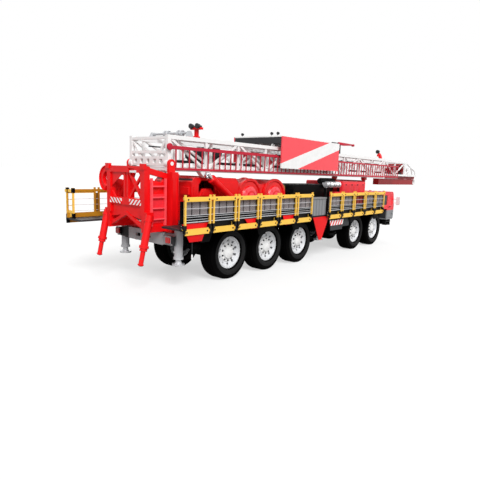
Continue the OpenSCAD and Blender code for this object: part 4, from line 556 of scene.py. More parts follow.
NODE_FINISHES: dict[str, Finish | GlassFinish] = {
    "chassis_frame": Finish(
        "chassis_black", Tone.BLACK, roughness=0.5, gloss=0.08, relief=Relief.CAST, dust=0.04
    ),
    "axle_beams": Finish(
        "axle_black", Tone.BLACK, roughness=0.55, gloss=0.08, relief=Relief.CAST, mottle=0.3, dust=0.05
    ),
    "deck": Finish(
        "deck_plate", Tone.DARK_GREY, roughness=0.5, metallic=0.35, relief=Relief.TREAD_PLATE, mottle=0.2,
        zones=(
            Zone((TAIL, 1490, 1200), (NOSE, 1700, 1700), Tone.BLACK, 0.5),
            # OCHRE at the left rear edge is painted shade: the yellow there drawn darker, as on the left
            # railing.
            Zone((TAIL, 1480, 1452), (-1400, 1546, 1700), Tone.OCHRE, 0.5, mirrored=False),
            StripeZone(
                (TAIL, 1540, 1452), (NOSE, 1700, 1556), Tone.MID_GREY, 0.45,
                weights=(0.0, 0.0, 1.0), pitch=52, share=0.35,
            ),
        ),
    ),
    # Black here is painted shade: the brackets are drawn as the dark below the deck's edge.
    "walkway_brackets": Finish("bracket_black", Tone.BLACK, roughness=0.5, gloss=0.06),
    "gratings": Finish(
        "grating_grey", Tone.MESH, roughness=0.5, gloss=0.1, mottle=0.16,
        zones=(
            # BLACK is painted shade: the gaps between the mesh sheets and between the pale bars read dark.
            Zone((TAIL, 1500, 1560), (NOSE, 1540, 1985), Tone.BLACK, 0.5),
            StripeZone(
                (TAIL, 1500, 1560), (NOSE, 1540, 1721), Tone.PALE_GREY,
                weights=(0.0, 0.0, 1.0), pitch=56, share=0.24,
            ),
        ),
    ),
    "railings": Finish(
        "railing_yellow", Tone.YELLOW, coat=0.1,
        zones=(
            # OCHRE over the left railing is painted shade: its yellow drawn darker as if the carrier shaded
            # it.
            Zone((-2800, 1540, 1300), (NOSE, 1604.5, 2200), Tone.OCHRE, 0.5, mirrored=False),
            # UMBER on the plates between paired posts is painted shade in the narrow gaps there.
            Zone((TAIL, 1595.4, 1500), (NOSE, 1604.6, 2100), Tone.UMBER, 0.6),
            *(Zone((TAIL, 1596, z), (NOSE, 1608, z + 12), Tone.SILVER, 0.3, 0.3) for z in (1589, 1729, 1869)),
            Zone((TAIL, 1598.5, 1426), (NOSE, 1700, 1534), Tone.BLACK, 0.5),
            Zone((TAIL, 1530, 1452), (NOSE, 1700, 1534), Tone.BLACK, 0.5),
            JointZone((TAIL, 1575, 1300), (2960, 1700, 1451), Tone.BLACK, 0.5, start=-2020),
            JointZone((3850, 1575, 1300), (8040, 1700, 1451), Tone.BLACK, 0.5, start=3885),
        ),
    ),
    "rear_bumper": Finish(
        "bumper_grey", Tone.BUMPER_GREY, roughness=0.45,
        zones=(
            Zone((-1900, 560, 950), (-1700, 900, 1300), Tone.BLACK, 0.5, mirrored=False),
            Zone((-1900, 1030, 950), (-1700, 1200, 1300), Tone.DARK_GREY, 0.5),
        ),
    ),
    "side_boxes": Finish(
        "locker_grey", Tone.MID_GREY, roughness=0.5,
        zones=(Zone((4800, 400, 900), (5700, 1600, 1400), Tone.DARK_GREY, 0.5),),
    ),
    "jack_housings": Finish(
        "jack_grey", Tone.PALE_GREY, roughness=0.45,
        zones=(
            Zone((3000, 380, 600), (5200, 1470, 1500), Tone.BLACK, 0.5),
            Zone((3000, 1470, 600), (4100, 1600, 1500), Tone.RED),
            Zone((4130, 1470, 600), (5200, 1600, 1500), Tone.DARK_GREY, 0.5),
            StripeZone(*GUARD, Tone.RED, weights=(1.0, 0.0, -1.0), pitch=170, share=2.0),
            StripeZone(*GUARD, Tone.WHITE, weights=(1.0, 0.0, -0.6), pitch=170, share=0.55),
        ),
    ),
    "jack_": Finish("jack_tube", Tone.SILVER, roughness=0.3, metallic=0.6, relief=Relief.BRUSHED),
    "mast_base": Finish(
        "base_red", Tone.RED, roughness=0.4, coat=0.12,
        zones=(
            StripeZone(
                (-2310, 145, 1872), (-2255, 585, 1988), Tone.WHITE, weights=(0.0, -1.0, 1.0), pitch=118
            ),
            Zone((-2320, -420, 2560), (-2280, -180, 2610), Tone.WHITE, mirrored=False),
            # ROSE and CORAL on the base's sides are painted highlights on the red.
            Zone((-2166, 704, 1430), (-1740, 762, 2490), Tone.ROSE),
            Zone((-2140, 690, 1495), (-1745, 697, 2125), Tone.CORAL),
        ),
    ),
    "mast_rest": Finish("rest_red", Tone.MAROON, roughness=0.45),
    "drawworks_housing": Finish(
        "drawworks_red", Tone.RED, roughness=0.36, coat=0.2,
        # BLACK inside the housing's opening is painted shade.
        zones=(Zone((-915, -649, 1400), (665, 649, 2459), Tone.BLACK, 0.6, mirrored=False),),
    ),
    "drum_guards": Finish(
        "drum_red", Tone.RED, roughness=0.32, coat=0.3, gloss=0.4,
        zones=(
            Zone((2790, 525, 1440), (3100, 531, 2500), Tone.GOLD),
            # The ROSE rings round the drum hubs are painted highlights on the red covers.
            *(
                RoundZone(
                    (x0, 622, 1500), (x0 + 800, 720, 2500), Tone.ROSE, 0.3,
                    centre=(x, DRUM_Z), inner=196, outer=330,
                )
                for x0, x in zip((900, 2000), DRUMS)
            ),
        ),
    ),
    "engine": Finish(
        "engine_black", Tone.BLACK, roughness=0.4, gloss=0.06, coat=0.01, relief=Relief.CAST, mottle=0.3
    ),
    "exhaust_pipe": Finish(
        "exhaust_steel", Tone.SILVER, roughness=0.3, metallic=0.5, relief=Relief.BRUSHED,
        zones=(
            StripeZone(
                (5200, 500, 2200), (6250, 800, 2600), Tone.DARK_GREY, 0.5,
                weights=(1.0, 0.0, 0.0), pitch=125, share=0.2,
            ),
            Zone((5000, -515, 2335), (6300, -285, 2560), Tone.BLACK, 0.5, mirrored=False),
            Zone((5000, -690, 1400), (6300, -590, 2222), Tone.BLACK, 0.5, mirrored=False),
        ),
    ),
    "radiator_hood": Finish(
        "hood_red", Tone.CORAL, roughness=0.36, coat=0.15,
        zones=(Zone((8060, 0, 1560), (8100, 690, 2360), Tone.BLACK, 0.6),),
    ),
    "cab_shell": Finish(
        "cab_red", Tone.CORAL, roughness=0.3, coat=0.3,
        zones=(
            Zone((8300, 0, 900), (9900, 1262, 1340), Tone.MID_GREY, 0.45),
            Zone((8300, 0, 700), (9900, 1262, 960), Tone.BLACK, 0.5),
            Zone((8300, 1263, 700), (9900, 1600, 1500), Tone.BLACK, 0.45),
            Zone((8300, 1263, 1500), (9900, 1600, 2200), Tone.WHITE, 0.3),
            Zone((8370, 0, 1000), (9680, 1208, 2038), Tone.DARK_GREY, 0.7),
            SlantZone((9600, 0, 1000), (9845, 1208, 1945), Tone.DARK_GREY, 0.7, rise=-4.29, high_line=43791),
        ),
    ),
    "cab_seats": KNUCKLE_BLACK,
    "cab_glass": GlassFinish(),
    "door": Finish(
        "door_red", Tone.CORAL, roughness=0.3, coat=0.3,
        zones=(Zone((9000, 0, 900), (9900, 1300, 1340), Tone.MID_GREY, 0.45),),
    ),
    "lamps": Finish(
        "lamp_lens", Tone.LENS, roughness=0.12, coat=1.0, mottle=0.03,
        zones=(Zone((-2000, 0, 900), (-1000, 1200, 1300), Tone.LENS_RED, 0.15),),
    ),
    "leg_screw": Finish("leg_red", Tone.RED, roughness=0.36, coat=0.15),
    "racking_board": Finish(
        "board_paint", Tone.DARK_GREY, roughness=0.45,
        zones=(
            Zone((2240, 0, 3668), (5600, 869, 3720), Tone.WHITE, 0.45),
            Zone(*BOARD_SIDE, Tone.ROSE, 0.38),
            SlantZone(*BOARD_SIDE, Tone.WHITE, rise=0.285, low_line=1920, high_line=2297),
            Zone((2240, 869.5, 3686), (5600, 1000, 3720), Tone.WHITE),
        ),
    ),
    "mast_ladder": Finish("ladder_crimson", Tone.CRIMSON, roughness=0.4, coat=0.1),
    "mast_lower": Finish(
        "mast_white", Tone.WHITE, mottle=0.07,
        zones=(Zone((-1700, 0, 2500), (9950, 560, 2625), Tone.PALE_GREY, 0.5),),
    ),
    "mast_upper": Finish(
        "upper_white", Tone.WHITE, mottle=0.07,
        zones=(Zone((9200, -600, 3374), (9800, -500, 3600), Tone.RED, mirrored=False),),
    ),
    "crown_block": Finish(
        "crown_white", Tone.WHITE, mottle=0.07,
        zones=(
            RoundZone((12500, 0, 2700), (13500, 520, 3400), Tone.MAROON, centre=(12980, 3020), outer=296),
            Zone((10000, -440, 2320), (14230, -170, 2600), Tone.MAROON, mirrored=False),
        ),
    ),
    "mast_fittings": Finish(
        "fitting_red", Tone.RED, roughness=0.4,
        zones=(
            Zone((-1200, 0, 3402), (-890, 900, 3700), Tone.PALE_GREY, 0.5),
            *(
                RoundZone(*LAMP_POST, Tone.DARK_GREY, 0.4, 0.3, False, (y, 3655), outer=63, along_y=False)
                for y in (-760, -550)
            ),
        ),
    ),
    "raise_barrels": Finish("barrel_red", Tone.RED, roughness=0.36),
    "raise_rods": Finish(
        "rod_chrome", Tone.SILVER, roughness=0.16, metallic=0.95, relief=Relief.BRUSHED, mottle=0.04
    ),
    "rim": Finish(
        "rim_silver", Tone.SILVER, roughness=0.32, metallic=0.15, gloss=0.5, relief=Relief.BRUSHED, dust=0.02
    ),
    "tyre": RUBBER,
    "knuckle": KNUCKLE_BLACK,
}


def finish_of(node: str) -> Finish | GlassFinish:
    """The finish of a CAD node: the one under its name, or else under the longest start of it.

    Args:
        node: The node's name.

    Returns:
        Its finish.
    """
    return NODE_FINISHES[max((key for key in NODE_FINISHES if node.startswith(key)), key=len)]


class Bench:
    """The workbench: starting, shaping, copying and finishing pieces."""

    @staticmethod
    def clear() -> None:
        """Leaves edit mode and deselects everything."""
        if bpy.context.object and bpy.context.object.mode != "OBJECT":
            bpy.ops.object.mode_set(mode="OBJECT")
        bpy.ops.object.select_all(action="DESELECT")

    @staticmethod
    def settle() -> bpy.types.Object:
        """Brings the active object's place into its mesh.

        Returns:
            The object, at the origin.
        """
        if bpy.context.object.mode != "OBJECT":
            bpy.ops.object.mode_set(mode="OBJECT")
        bpy.ops.object.transform_apply(location=True, rotation=True, scale=True)
        return bpy.context.object

    @staticmethod
    def rounded_edges(width: float, segments: int = 2) -> None:
        """Bevels the active object's edges with an applied modifier.

        Args:
            width: Width in metres.
            segments: Steps across it.
        """
        modifier = bpy.context.object.modifiers.new("edges", "BEVEL")
        modifier.width = width
        modifier.segments = segments
        modifier.limit_method = "ANGLE"
        bpy.ops.object.modifier_apply(modifier="edges")

    @classmethod
    def cuboid(cls, low: Vector, high: Vector) -> bpy.types.Object:
        """A plain block between two corners.

        Args:
            low: Lowest corner in metres.
            high: Highest corner in metres.

        Returns:
            The block.
        """
        cls.clear()
        bpy.ops.mesh.primitive_cube_add(size=1, location=(low + high) / 2, scale=high - low)
        return cls.settle()

    @classmethod
    def inset(
        cls,
        obj: bpy.types.Object,
        chosen: Callable[[bpy.types.MeshPolygon], bool],
        border: float,
        height: float,
    ) -> None:
        """Raises or sinks each chosen face inside a border of its own.

        Args:
            obj: The piece.
            chosen: Says whether a face is one of them.
            border: Width of the border.
            height: Height of the raised part, less than 0 to sink it.
        """
        cls.clear()
        bpy.context.view_layer.objects.active = obj
        obj.select_set(True)
        bpy.ops.object.mode_set(mode="EDIT")
        bpy.ops.mesh.select_mode(type="FACE")
        bpy.ops.mesh.select_all(action="DESELECT")
        bpy.ops.object.mode_set(mode="OBJECT")
        for face in obj.data.polygons:
            face.select = chosen(face)
        bpy.ops.object.mode_set(mode="EDIT")
        bpy.ops.mesh.inset(thickness=border, depth=height, use_individual=True)
        bpy.ops.object.mode_set(mode="OBJECT")

    @classmethod
    def block(cls, one: Vector, two: Vector, edge: float, border: float, sink: float) -> bpy.types.Object:
        """A block with rounded edges, and a panel set into its upright faces.

        Args:
            one: One corner in metres.
            two: The corner across from it.
            edge: Width of the rounded edges.
            border: Width of the border round the panel.
            sink: Depth of the panel, less than 0 to raise it.

        Returns:
            The block.
        """
        obj = cls.cuboid(Vector(map(min, one, two)), Vector(map(max, one, two)))
        cls.inset(obj, lambda face: abs(face.normal.y) > 0.9 or abs(face.normal.x) > 0.9, border, -sink)
        cls.rounded_edges(edge)
        return obj

    @classmethod
    def pin(
        cls, start: Vector, end: Vector, radius: float, sides: int, chamfer: float = 0.0
    ) -> bpy.types.Object:
        """A round or six-sided pin between two points, with its end edges chamfered.

        Args:
            start: One end.
            end: The other end.
            radius: Radius in metres.
            sides: Sides round it.
            chamfer: Width of the end chamfer.

        Returns:
            The pin.
        """
        cls.clear()
        axis = end - start
        turn = Vector((0, 0, 1)).rotation_difference(axis.normalized()).to_euler()
        bpy.ops.mesh.primitive_cylinder_add(
            vertices=sides, radius=radius, depth=axis.length, location=(start + end) / 2, rotation=turn
        )
        obj = cls.settle()
        if chamfer:
            cls.rounded_edges(chamfer, 1 if sides <= 8 else 2)
        return obj

    @classmethod
    def extruded(cls, points: Sequence[Vector], step: float, edge: float) -> bpy.types.Object:
        """Moves the active flat mesh's vertices onto points and extrudes it along y.

        Args:
            points: A place for each vertex, in metres.
            step: How far it is extruded.
            edge: Width of the rounded edges.

        Returns:
            The piece.
        """
        obj = bpy.context.object
        for vertex, place in zip(obj.data.vertices, points):
            vertex.co = place
        bpy.ops.object.mode_set(mode="EDIT")
        bpy.ops.mesh.select_all(action="SELECT")
        bpy.ops.mesh.extrude_region_move(TRANSFORM_OT_translate={"value": (0, step, 0)})
        bpy.ops.mesh.select_all(action="SELECT")
        bpy.ops.mesh.normals_make_consistent(inside=False)
        cls.settle()
        cls.rounded_edges(edge)
        return obj

    @classmethod
    def plate(cls, points: Sequence[Vector], thickness: float, edge: float) -> bpy.types.Object:
        """A plate of any outline, from a filled circle, thickened along y.

        Args:
            points: The outline at its lowest y, in metres.
            thickness: Its thickness.
            edge: Width of the rounded edges.

        Returns:
            The plate.
        """
        cls.clear()
        bpy.ops.mesh.primitive_circle_add(vertices=len(points), radius=1, fill_type="NGON")
        return cls.extruded(points, thickness, edge)

    @classmethod
    def strip(
        cls, one: Sequence[Vector], two: Sequence[Vector], step: float, edge: float
    ) -> bpy.types.Object:
        """A bent bar between two lines of as many points, from a grid that is extruded along y.

        Args:
            one: Points of the first line.
            two: Points of the second line.
            step: How far it is extruded.
            edge: Width of the rounded edges.

        Returns:
            The bar.
        """
        cls.clear()
        bpy.ops.mesh.primitive_grid_add(x_subdivisions=len(one) - 1, y_subdivisions=1, size=1)
        return cls.extruded([*one, *two], step, edge)

    @classmethod
    def spun(cls, profile: Sequence[Corner], steps: int) -> bpy.types.Object:
        """A turned piece about the y axis, spun from a profile.

        Args:
            profile: Radius and y of each corner, in metres.
            steps: Steps round it.

        Returns:
            The turned piece, centred on the origin.
        """
        cls.clear()
        bpy.ops.mesh.primitive_plane_add(size=1)
        obj = bpy.context.object
        bpy.ops.object.mode_set(mode="EDIT")
        bpy.ops.mesh.delete(type="VERT")
        work = bmesh.from_edit_mesh(obj.data)
        points = [work.verts.new((radius, y, 0)) for radius, y in profile]
        for one, two in zip(points, points[1:]):
            work.edges.new((one, two))
        bmesh.update_edit_mesh(obj.data)
        bpy.ops.mesh.select_all(action="SELECT")
        bpy.ops.mesh.spin(steps=steps, angle=math.tau, center=(0, 0, 0), axis=(0, 1, 0))
        bpy.ops.mesh.select_all(action="SELECT")
        bpy.ops.mesh.remove_doubles(threshold=0.0002)
        bpy.ops.mesh.normals_make_consistent(inside=False)
        bpy.ops.object.mode_set(mode="OBJECT")
        return obj

    @staticmethod
    def moved(
        obj: bpy.types.Object, place: Vector, degrees: float = 0.0, axis: str = "Z"
    ) -> bpy.types.Object:
        """Turns a piece's mesh about the origin, then moves it to a place."""
        obj.data.transform(Matrix.Translation(place) @ Matrix.Rotation(math.radians(degrees), 4, axis))
        return obj

    @classmethod
    def joined(cls, pieces: Sequence[bpy.types.Object]) -> bpy.types.Object:
        """Joins pieces into the first one.

        Args:
            pieces: The pieces.

        Returns:
            The first piece, with all of them in it.
        """
        cls.clear()
        for piece in pieces:
            piece.select_set(True)
        bpy.context.view_layer.objects.active = pieces[0]
        if len(pieces) > 1:
            bpy.ops.object.join()
        return pieces[0]

    @classmethod
    def row(cls, source: bpy.types.Object, places: Iterable[Matrix]) -> bpy.types.Object:
        """Copies a piece to many places as one mesh, and takes the first away.

        Args:
            source: The piece, modelled once.
            places: Where each copy goes.

        Returns:
            The row of copies.
        """
        work = bmesh.new()
        for place in places:
            one = source.data.copy()
            one.transform(place)
            work.from_mesh(one)
            bpy.data.meshes.remove(one)
        mesh = bpy.data.meshes.new(source.name + "_row")
        work.to_mesh(mesh)
        work.free()
        copies = bpy.data.objects.new(source.name + "_row", mesh)
        bpy.context.scene.collection.objects.link(copies)
        bpy.data.objects.remove(source)
        return copies

    @classmethod
    def done(
        cls, obj: bpy.types.Object, name: str, finish: Finish | None, node: str, angle: float = 32
    ) -> bpy.types.Object:
        """Names, smooths and dresses a piece, and hangs it on the body of a CAD node.

        Args:
            obj: The piece.
            name: Its name.
            finish: Its finish, or None where its faces have theirs.
            node: The CAD node that carries it.
            angle: Edges sharper than this stay sharp, in degrees.

        Returns:
            The piece.
        """
        cls.clear()
        obj.name = name
        obj.data.name = name
        bpy.context.view_layer.objects.active = obj
        obj.select_set(True)
        bpy.ops.object.shade_smooth_by_angle(angle=math.radians(angle))
        if finish is not None:
            obj.data.materials.clear()
            obj.data.materials.append(material_of(finish))
        carrier = frame["nodes"][node]
        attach(obj, carrier["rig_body"])
        return obj


def hexagon_bolt(radius: float, height: float) -> bpy.types.Object:
    """A six-sided bolt head with a washer, pointing along +y from the origin.

    Args:
        radius: Radius over the corners.
        height: Height of head and washer.

    Returns:
        The bolt.
    """
    head = Bench.pin(Vector(), Vector((0, height, 0)), radius, 6, radius * 0.12)
    washer = Bench.pin(Vector((0, -height * 0.2, 0)), Vector((0, height * 0.25, 0)), radius * 1.3, 12)
    return Bench.joined([head, washer])


def facing(place: Vector, side: Side) -> Matrix:
    """A matrix that sets a piece made along +y at a place, turned to one side of the carrier."""
    turn = Matrix.Rotation(math.pi if side is Side.RIGHT else 0.0, 4, "Z")
    return Matrix.Translation(place) @ turn


@dataclass
class Wheels:
    """The ten wheels' tyres, hub covers and nuts."""

    steps: int = 72
    half: float = 0.235
    bead: float = 0.399
    sidewall: tuple[Corner, ...] = (
        (0.0, 0.062), (0.014, 0.034), (0.030, 0.018), (0.055, 0.007), (0.085, 0.002), (0.092, -0.0008),
        (0.101, -0.0008), (0.108, 0.001), (0.150, 0.002), (0.190, 0.010), (0.226, 0.026),
    )
    shoulder: Corner = (0.014, 0.050)
    grooves: tuple[float, ...] = (0.150, 0.135, 0.075, 0.062, 0.006)
    groove_depth: float = 0.0115
    lining: tuple[Corner, ...] = ((0.02, 0.15), (0.2, 0.19), (0.22, 0.0), (0.2, -0.19), (0.02, -0.15))
    block_border: float = 0.0055
    block_rise: float = 0.0110
    block_band: float = 0.016
    block_area: float = 0.0026
    wall: Corner = (0.028, 0.155)
    wall_y: float = 0.2
    cover: tuple[Corner, ...] = (
        (0.239, 0.090), (0.239, 0.101), (0.229, 0.122), (0.170, 0.131), (0.1685, 0.143), (0.143, 0.1745),
        (0.108, 0.1825), (0.093, 0.1935), (0.060, 0.1965), (0.052, 0.2040), (0.012, 0.2060), (0.0, 0.2060),
    )
    nut_size: Corner = (0.0175, 0.026)
    nut_ring: float = 0.203
    nut_y: float = 0.126
    nuts: int = 10

    def tyre(self) -> bpy.types.Object:
        """Models one tyre about the origin: sidewall ribs, shoulder blocks and tread blocks.

        Returns:
            The tyre.
        """
        bead, half, tread_r = self.bead, self.half, TYRE_R - self.groove_depth
        left = [(bead + rise, y - half) for rise, y in self.sidewall]
        left.append((TYRE_R - self.shoulder[0], self.shoulder[1] - half))
        tread = [(tread_r, -y) for y in self.grooves] + [(tread_r, y) for y in reversed(self.grooves)]
        right = [(radius, -y) for radius, y in reversed(left)]
        inside = [(bead + rise, y) for rise, y in self.lining]
        obj = Bench.spun([*left, *tread, *right, *inside, left[0]], self.steps)
        obj.name = "tyre"

        def block(face: bpy.types.MeshPolygon) -> bool:
            """Whether a face is the top of a tread block."""
            radius = math.hypot(face.center.x, face.center.z)
            return radius > TYRE_R - self.block_band and face.area > self.block_area

        Bench.inset(obj, block, self.block_border, self.block_rise)
        for finish in (RUBBER, SIDEWALL):
            obj.data.materials.append(material_of(finish))
        for face in obj.data.polygons:
            radius = math.hypot(face.center.x, face.center.z)
            on_wall = bead + self.wall[0] < radius < bead + self.wall[1]
            face.material_index = int(on_wall and abs(face.center.y) > self.wall_y)
        return obj

    def build(self) -> None:
        """Builds the tyre, the hub cover and the nuts once, and copies them to every wheel."""
        tyre = self.tyre()
        cover = Bench.spun(self.cover, 48)
        out = Matrix.Translation((self.nut_ring, self.nut_y, 0))
        turns = [math.tau * (k + 0.5) / self.nuts for k in range(self.nuts)]
        nut = Bench.row(hexagon_bolt(*self.nut_size), [Matrix.Rotation(a, 4, "Y") @ out for a in turns])
        kinds = (
            (tyre, "tyre_tread", None, "tyre"), (cover, "hub_cover", HUB_WHITE, "rim"),
            (nut, "wheel_nuts", DARK_STEEL, "rim"),
        )
        for number, x in enumerate(AXLES, 1):
            for side in Side:
                name = f"{number}{side.name[0].lower()}"
                place = facing(spot(x, WHEEL_Y * side.value, TYRE_R * 1000), side)
                for source, kind, finish, carrier in kinds:
                    copy = source.copy()
                    copy.data = source.data.copy()
                    copy.data.transform(place)
                    bpy.context.scene.collection.objects.link(copy)
                    Bench.done(copy, f"{kind}_{name}", finish, f"{carrier}_{name}")
                    if source is tyre:
                        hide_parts(f"tyre_{name}")
        for source in (tyre, cover, nut):
            bpy.data.objects.remove(source)


@dataclass
class Railing:
    """The railings' bolts and top bands, and the black joints and the toe board at the left rear end."""

    face_y: float = 1631
    band_z: float = 2062
    toe_y: float = 1597
    toe_z: float = 1385
    bolt_in: float = 115
    bolt: Corner = (0.016, 0.014)
    band: tuple[Place, Place] = ((-0.337, -0.023, -0.047), (0.337, 0.001, 0.047))
    joint: tuple[Place, Place] = ((-0.034, -0.034, -0.055), (0.034, 0.034, 0.055))
    end_x: float = -2780
    end_joints: tuple[Corner, ...] = ((1602, 2095), (1342, 2095), (1602, 1372), (1342, 1505))
    end_toe: tuple[Place, Place] = ((-2788, 1364, 1462), (-2776, 1580, 1590))

    def build(self) -> None:
        """Builds bolts, bands, joints and toe board."""
        bolts = [
            facing(spot(start + bay * BAY + ahead, y * side.value, z), side)
            for start, bays, side in RUNS
            for bay in range(bays)
            for ahead in (self.bolt_in, BAY - self.bolt_in)
            for y, z in ((self.face_y, self.band_z), (self.toe_y, self.toe_z))
        ]
        Bench.done(Bench.row(hexagon_bolt(*self.bolt), bolts), "railing_bolts", DARK_STEEL, "railings")
        band = Bench.block(*map(Vector, self.band), 0.006, 0.010, -0.002)
        bands = [
            facing(spot(start + (bay + 0.5) * BAY, self.face_y * side.value, self.band_z), side)
            for start, bays, side in RUNS
            for bay in range(bays)
        ]
        Bench.done(Bench.row(band, bands), "railing_bands", YELLOW_PAINT, "railings")
        joint = Bench.block(*map(Vector, self.joint), 0.006, 0.012, 0.003)
        joints = [Matrix.Translation(spot(self.end_x, y, z)) for y, z in self.end_joints]
        Bench.done(Bench.row(joint, joints), "railing_corner_joints", BLACK_PAINT, "railings")
        toe = Bench.block(*(spot(*corner) for corner in self.end_toe), 0.003, 0.012, -0.002)
        Bench.done(toe, "railing_end_toe", YELLOW_PAINT, "railings")


@dataclass
class SidePanels:
    """The mesh sheets behind the railings, a black sheet of painted shade behind them, and the red plates at
    the deck's edge.
    """

    sheets: int = 3
    low_z: float = 1726
    high_z: float = 2018
    sheet_y: Corner = (1533, 1537)
    sheet_gap: float = 14
    bay_gap: float = 60
    dark_bay: int = 2
    back_z: float = 1562
    back_y: Corner = (1497, 1503)
    overlap: float = 52
    plate_z: float = 1556
    plate_y: Corner = (1551, 1561)
    plates: tuple[tuple[Corner, Corner, float], ...] = (
        ((-2004, -1262), (-1795, -1436), 1165),
        ((-30, 522), (215, 480), 1300),
        ((1530, 2084), (1640, 1925), 1300),
    )

    def build(self) -> None:
        """Builds the sheets bay by bay, then the red plates."""
        shade_backs, meshes, dark = [], [], []
        for start, bays, side in (RUNS[0], *RUNS[2:]):
            sign = side.value
            for bay in range(bays):
                x0, x1 = start + bay * BAY + self.bay_gap, start + (bay + 1) * BAY - self.bay_gap
                pitch = (x1 - x0) / self.sheets
                # A black sheet behind each bay: painted shade that shows in the gaps between the sheets.
                shade_backs.append(Bench.block(
                    spot(x0 - self.overlap, self.back_y[0] * sign, self.back_z),
                    spot(x1 + self.overlap, self.back_y[1] * sign, self.high_z),
                    0.001, 0.012, 0.001,
                ))
                for number in range(self.sheets):
                    left = x0 + number * pitch + self.sheet_gap
                    right = x0 + (number + 1) * pitch - self.sheet_gap
                    (dark if start > 0 and bay == self.dark_bay else meshes).append(Bench.block(
                        spot(left, self.sheet_y[0] * sign, self.low_z),
                        spot(right, self.sheet_y[1] * sign, self.high_z),
                        0.001, 0.010, 0.0015,
                    ))
        Bench.done(Bench.joined(shade_backs), "mesh_backing", BLACK_PAINT, "gratings")
        Bench.done(Bench.joined(meshes), "mesh_sheets", MESH_SHEET, "gratings")
        Bench.done(Bench.joined(dark), "maroon_sheets", MAROON_PAINT, "gratings")
        plates = [
            Bench.plate(
                outline(
                    min(y * side.value for y in self.plate_y),
                    (low[0], z0), (low[1], z0), (top[1], self.plate_z), (top[0], self.plate_z),
                ),
                0.010, 0.003,
            )
            for top, low, z0 in self.plates
            for side in Side
        ]
        Bench.done(Bench.joined(plates), "edge_plates", RED_PAINT, "deck")


@dataclass
class Hood:
    """The radiator hood's latches."""

    x0: float = 6250
    pitch: float = 457
    bays: int = 4
    rows: Corner = (1620, 2335)
    face_y: float = 774
    knob: tuple[Place, Place] = ((-0.006, 0.008, -0.020), (0.006, 0.026, 0.020))

    def build(self) -> None:
        """Builds a latch with its knob, and sets two on each panel of both sides."""
        latch = Bench.pin(Vector((0, -0.003, 0)), Vector((0, 0.014, 0)), 0.024, 20, 0.004)
        knob = Bench.block(*map(Vector, self.knob), 0.003, 0.002, 0.001)
        places = [
            facing(spot(self.x0 + (bay + 0.5) * self.pitch, self.face_y * side.value, z), side)
            for bay in range(self.bays)
            for side in Side
            for z in self.rows
        ]
        latches = Bench.row(Bench.joined([latch, knob]), places)
        Bench.done(latches, "hood_latches", DARK_STEEL, "radiator_hood")


@dataclass
class Machinery:
    """The bolt rings and hubs of the drum covers, the hubs in rose as a painted highlight, and the bolts
    along the drawworks.
    """

    cover_y: float = 622
    ring_r: float = 0.488
    ring_bolts: int = 24
    lobes: int = 9
    lobe: tuple[Corner, ...] = ((0.0, 0.222), (0.12, 0.262), (0.5, 0.262), (0.62, 0.222))
    hub: tuple[Corner, ...] = (
        (0.0, 0.105), (0.055, 0.105), (0.068, 0.092), (0.115, 0.086), (0.128, 0.060), (0.128, 0.030),
        (0.0, 0.030),
    )
    lid_y: float = 700
    lid_z: float = 1510
    lid_xs: range = range(-900, 700, 100)

    def build(self) -> None:
        """Builds the bolt rings, the lobed hubs and the bolts along the housing."""
        hubs = [facing(spot(x, self.cover_y * side.value, DRUM_Z), side) for x in DRUMS for side in Side]
        ring = []
        for hub in hubs:
            for k in range(self.ring_bolts):
                angle = math.tau * k / self.ring_bolts
                offset = Vector((math.cos(angle) * self.ring_r, 0, math.sin(angle) * self.ring_r))
                ring.append(Matrix.Translation(offset) @ hub)
        Bench.done(Bench.row(hexagon_bolt(0.010, 0.009), ring), "drum_cover_bolts", RED_PAINT, "drum_guards")
        points = []
        for k in range(self.lobes):
            for share, radius in self.lobe:
                angle = math.tau * (k + share) / self.lobes
                points.append(Vector((math.cos(angle) * radius, 0.012, math.sin(angle) * radius)))
        lobed = Bench.plate(points, 0.034, 0.006)
        hub = Bench.spun(self.hub, 36)
        # The lobed hubs are drawn in rose, a painted highlight on the red covers.
        Bench.done(Bench.row(Bench.joined([lobed, hub]), hubs), "drum_hubs", ROSE_HIGHLIGHT, "drum_guards")
        lid = [
            facing(spot(x, self.lid_y * side.value, self.lid_z), side) for side in Side for x in self.lid_xs
        ]
        bolts = Bench.row(hexagon_bolt(0.013, 0.012), lid)
        Bench.done(bolts, "drawworks_bolts", DARK_STEEL, "drawworks_housing")


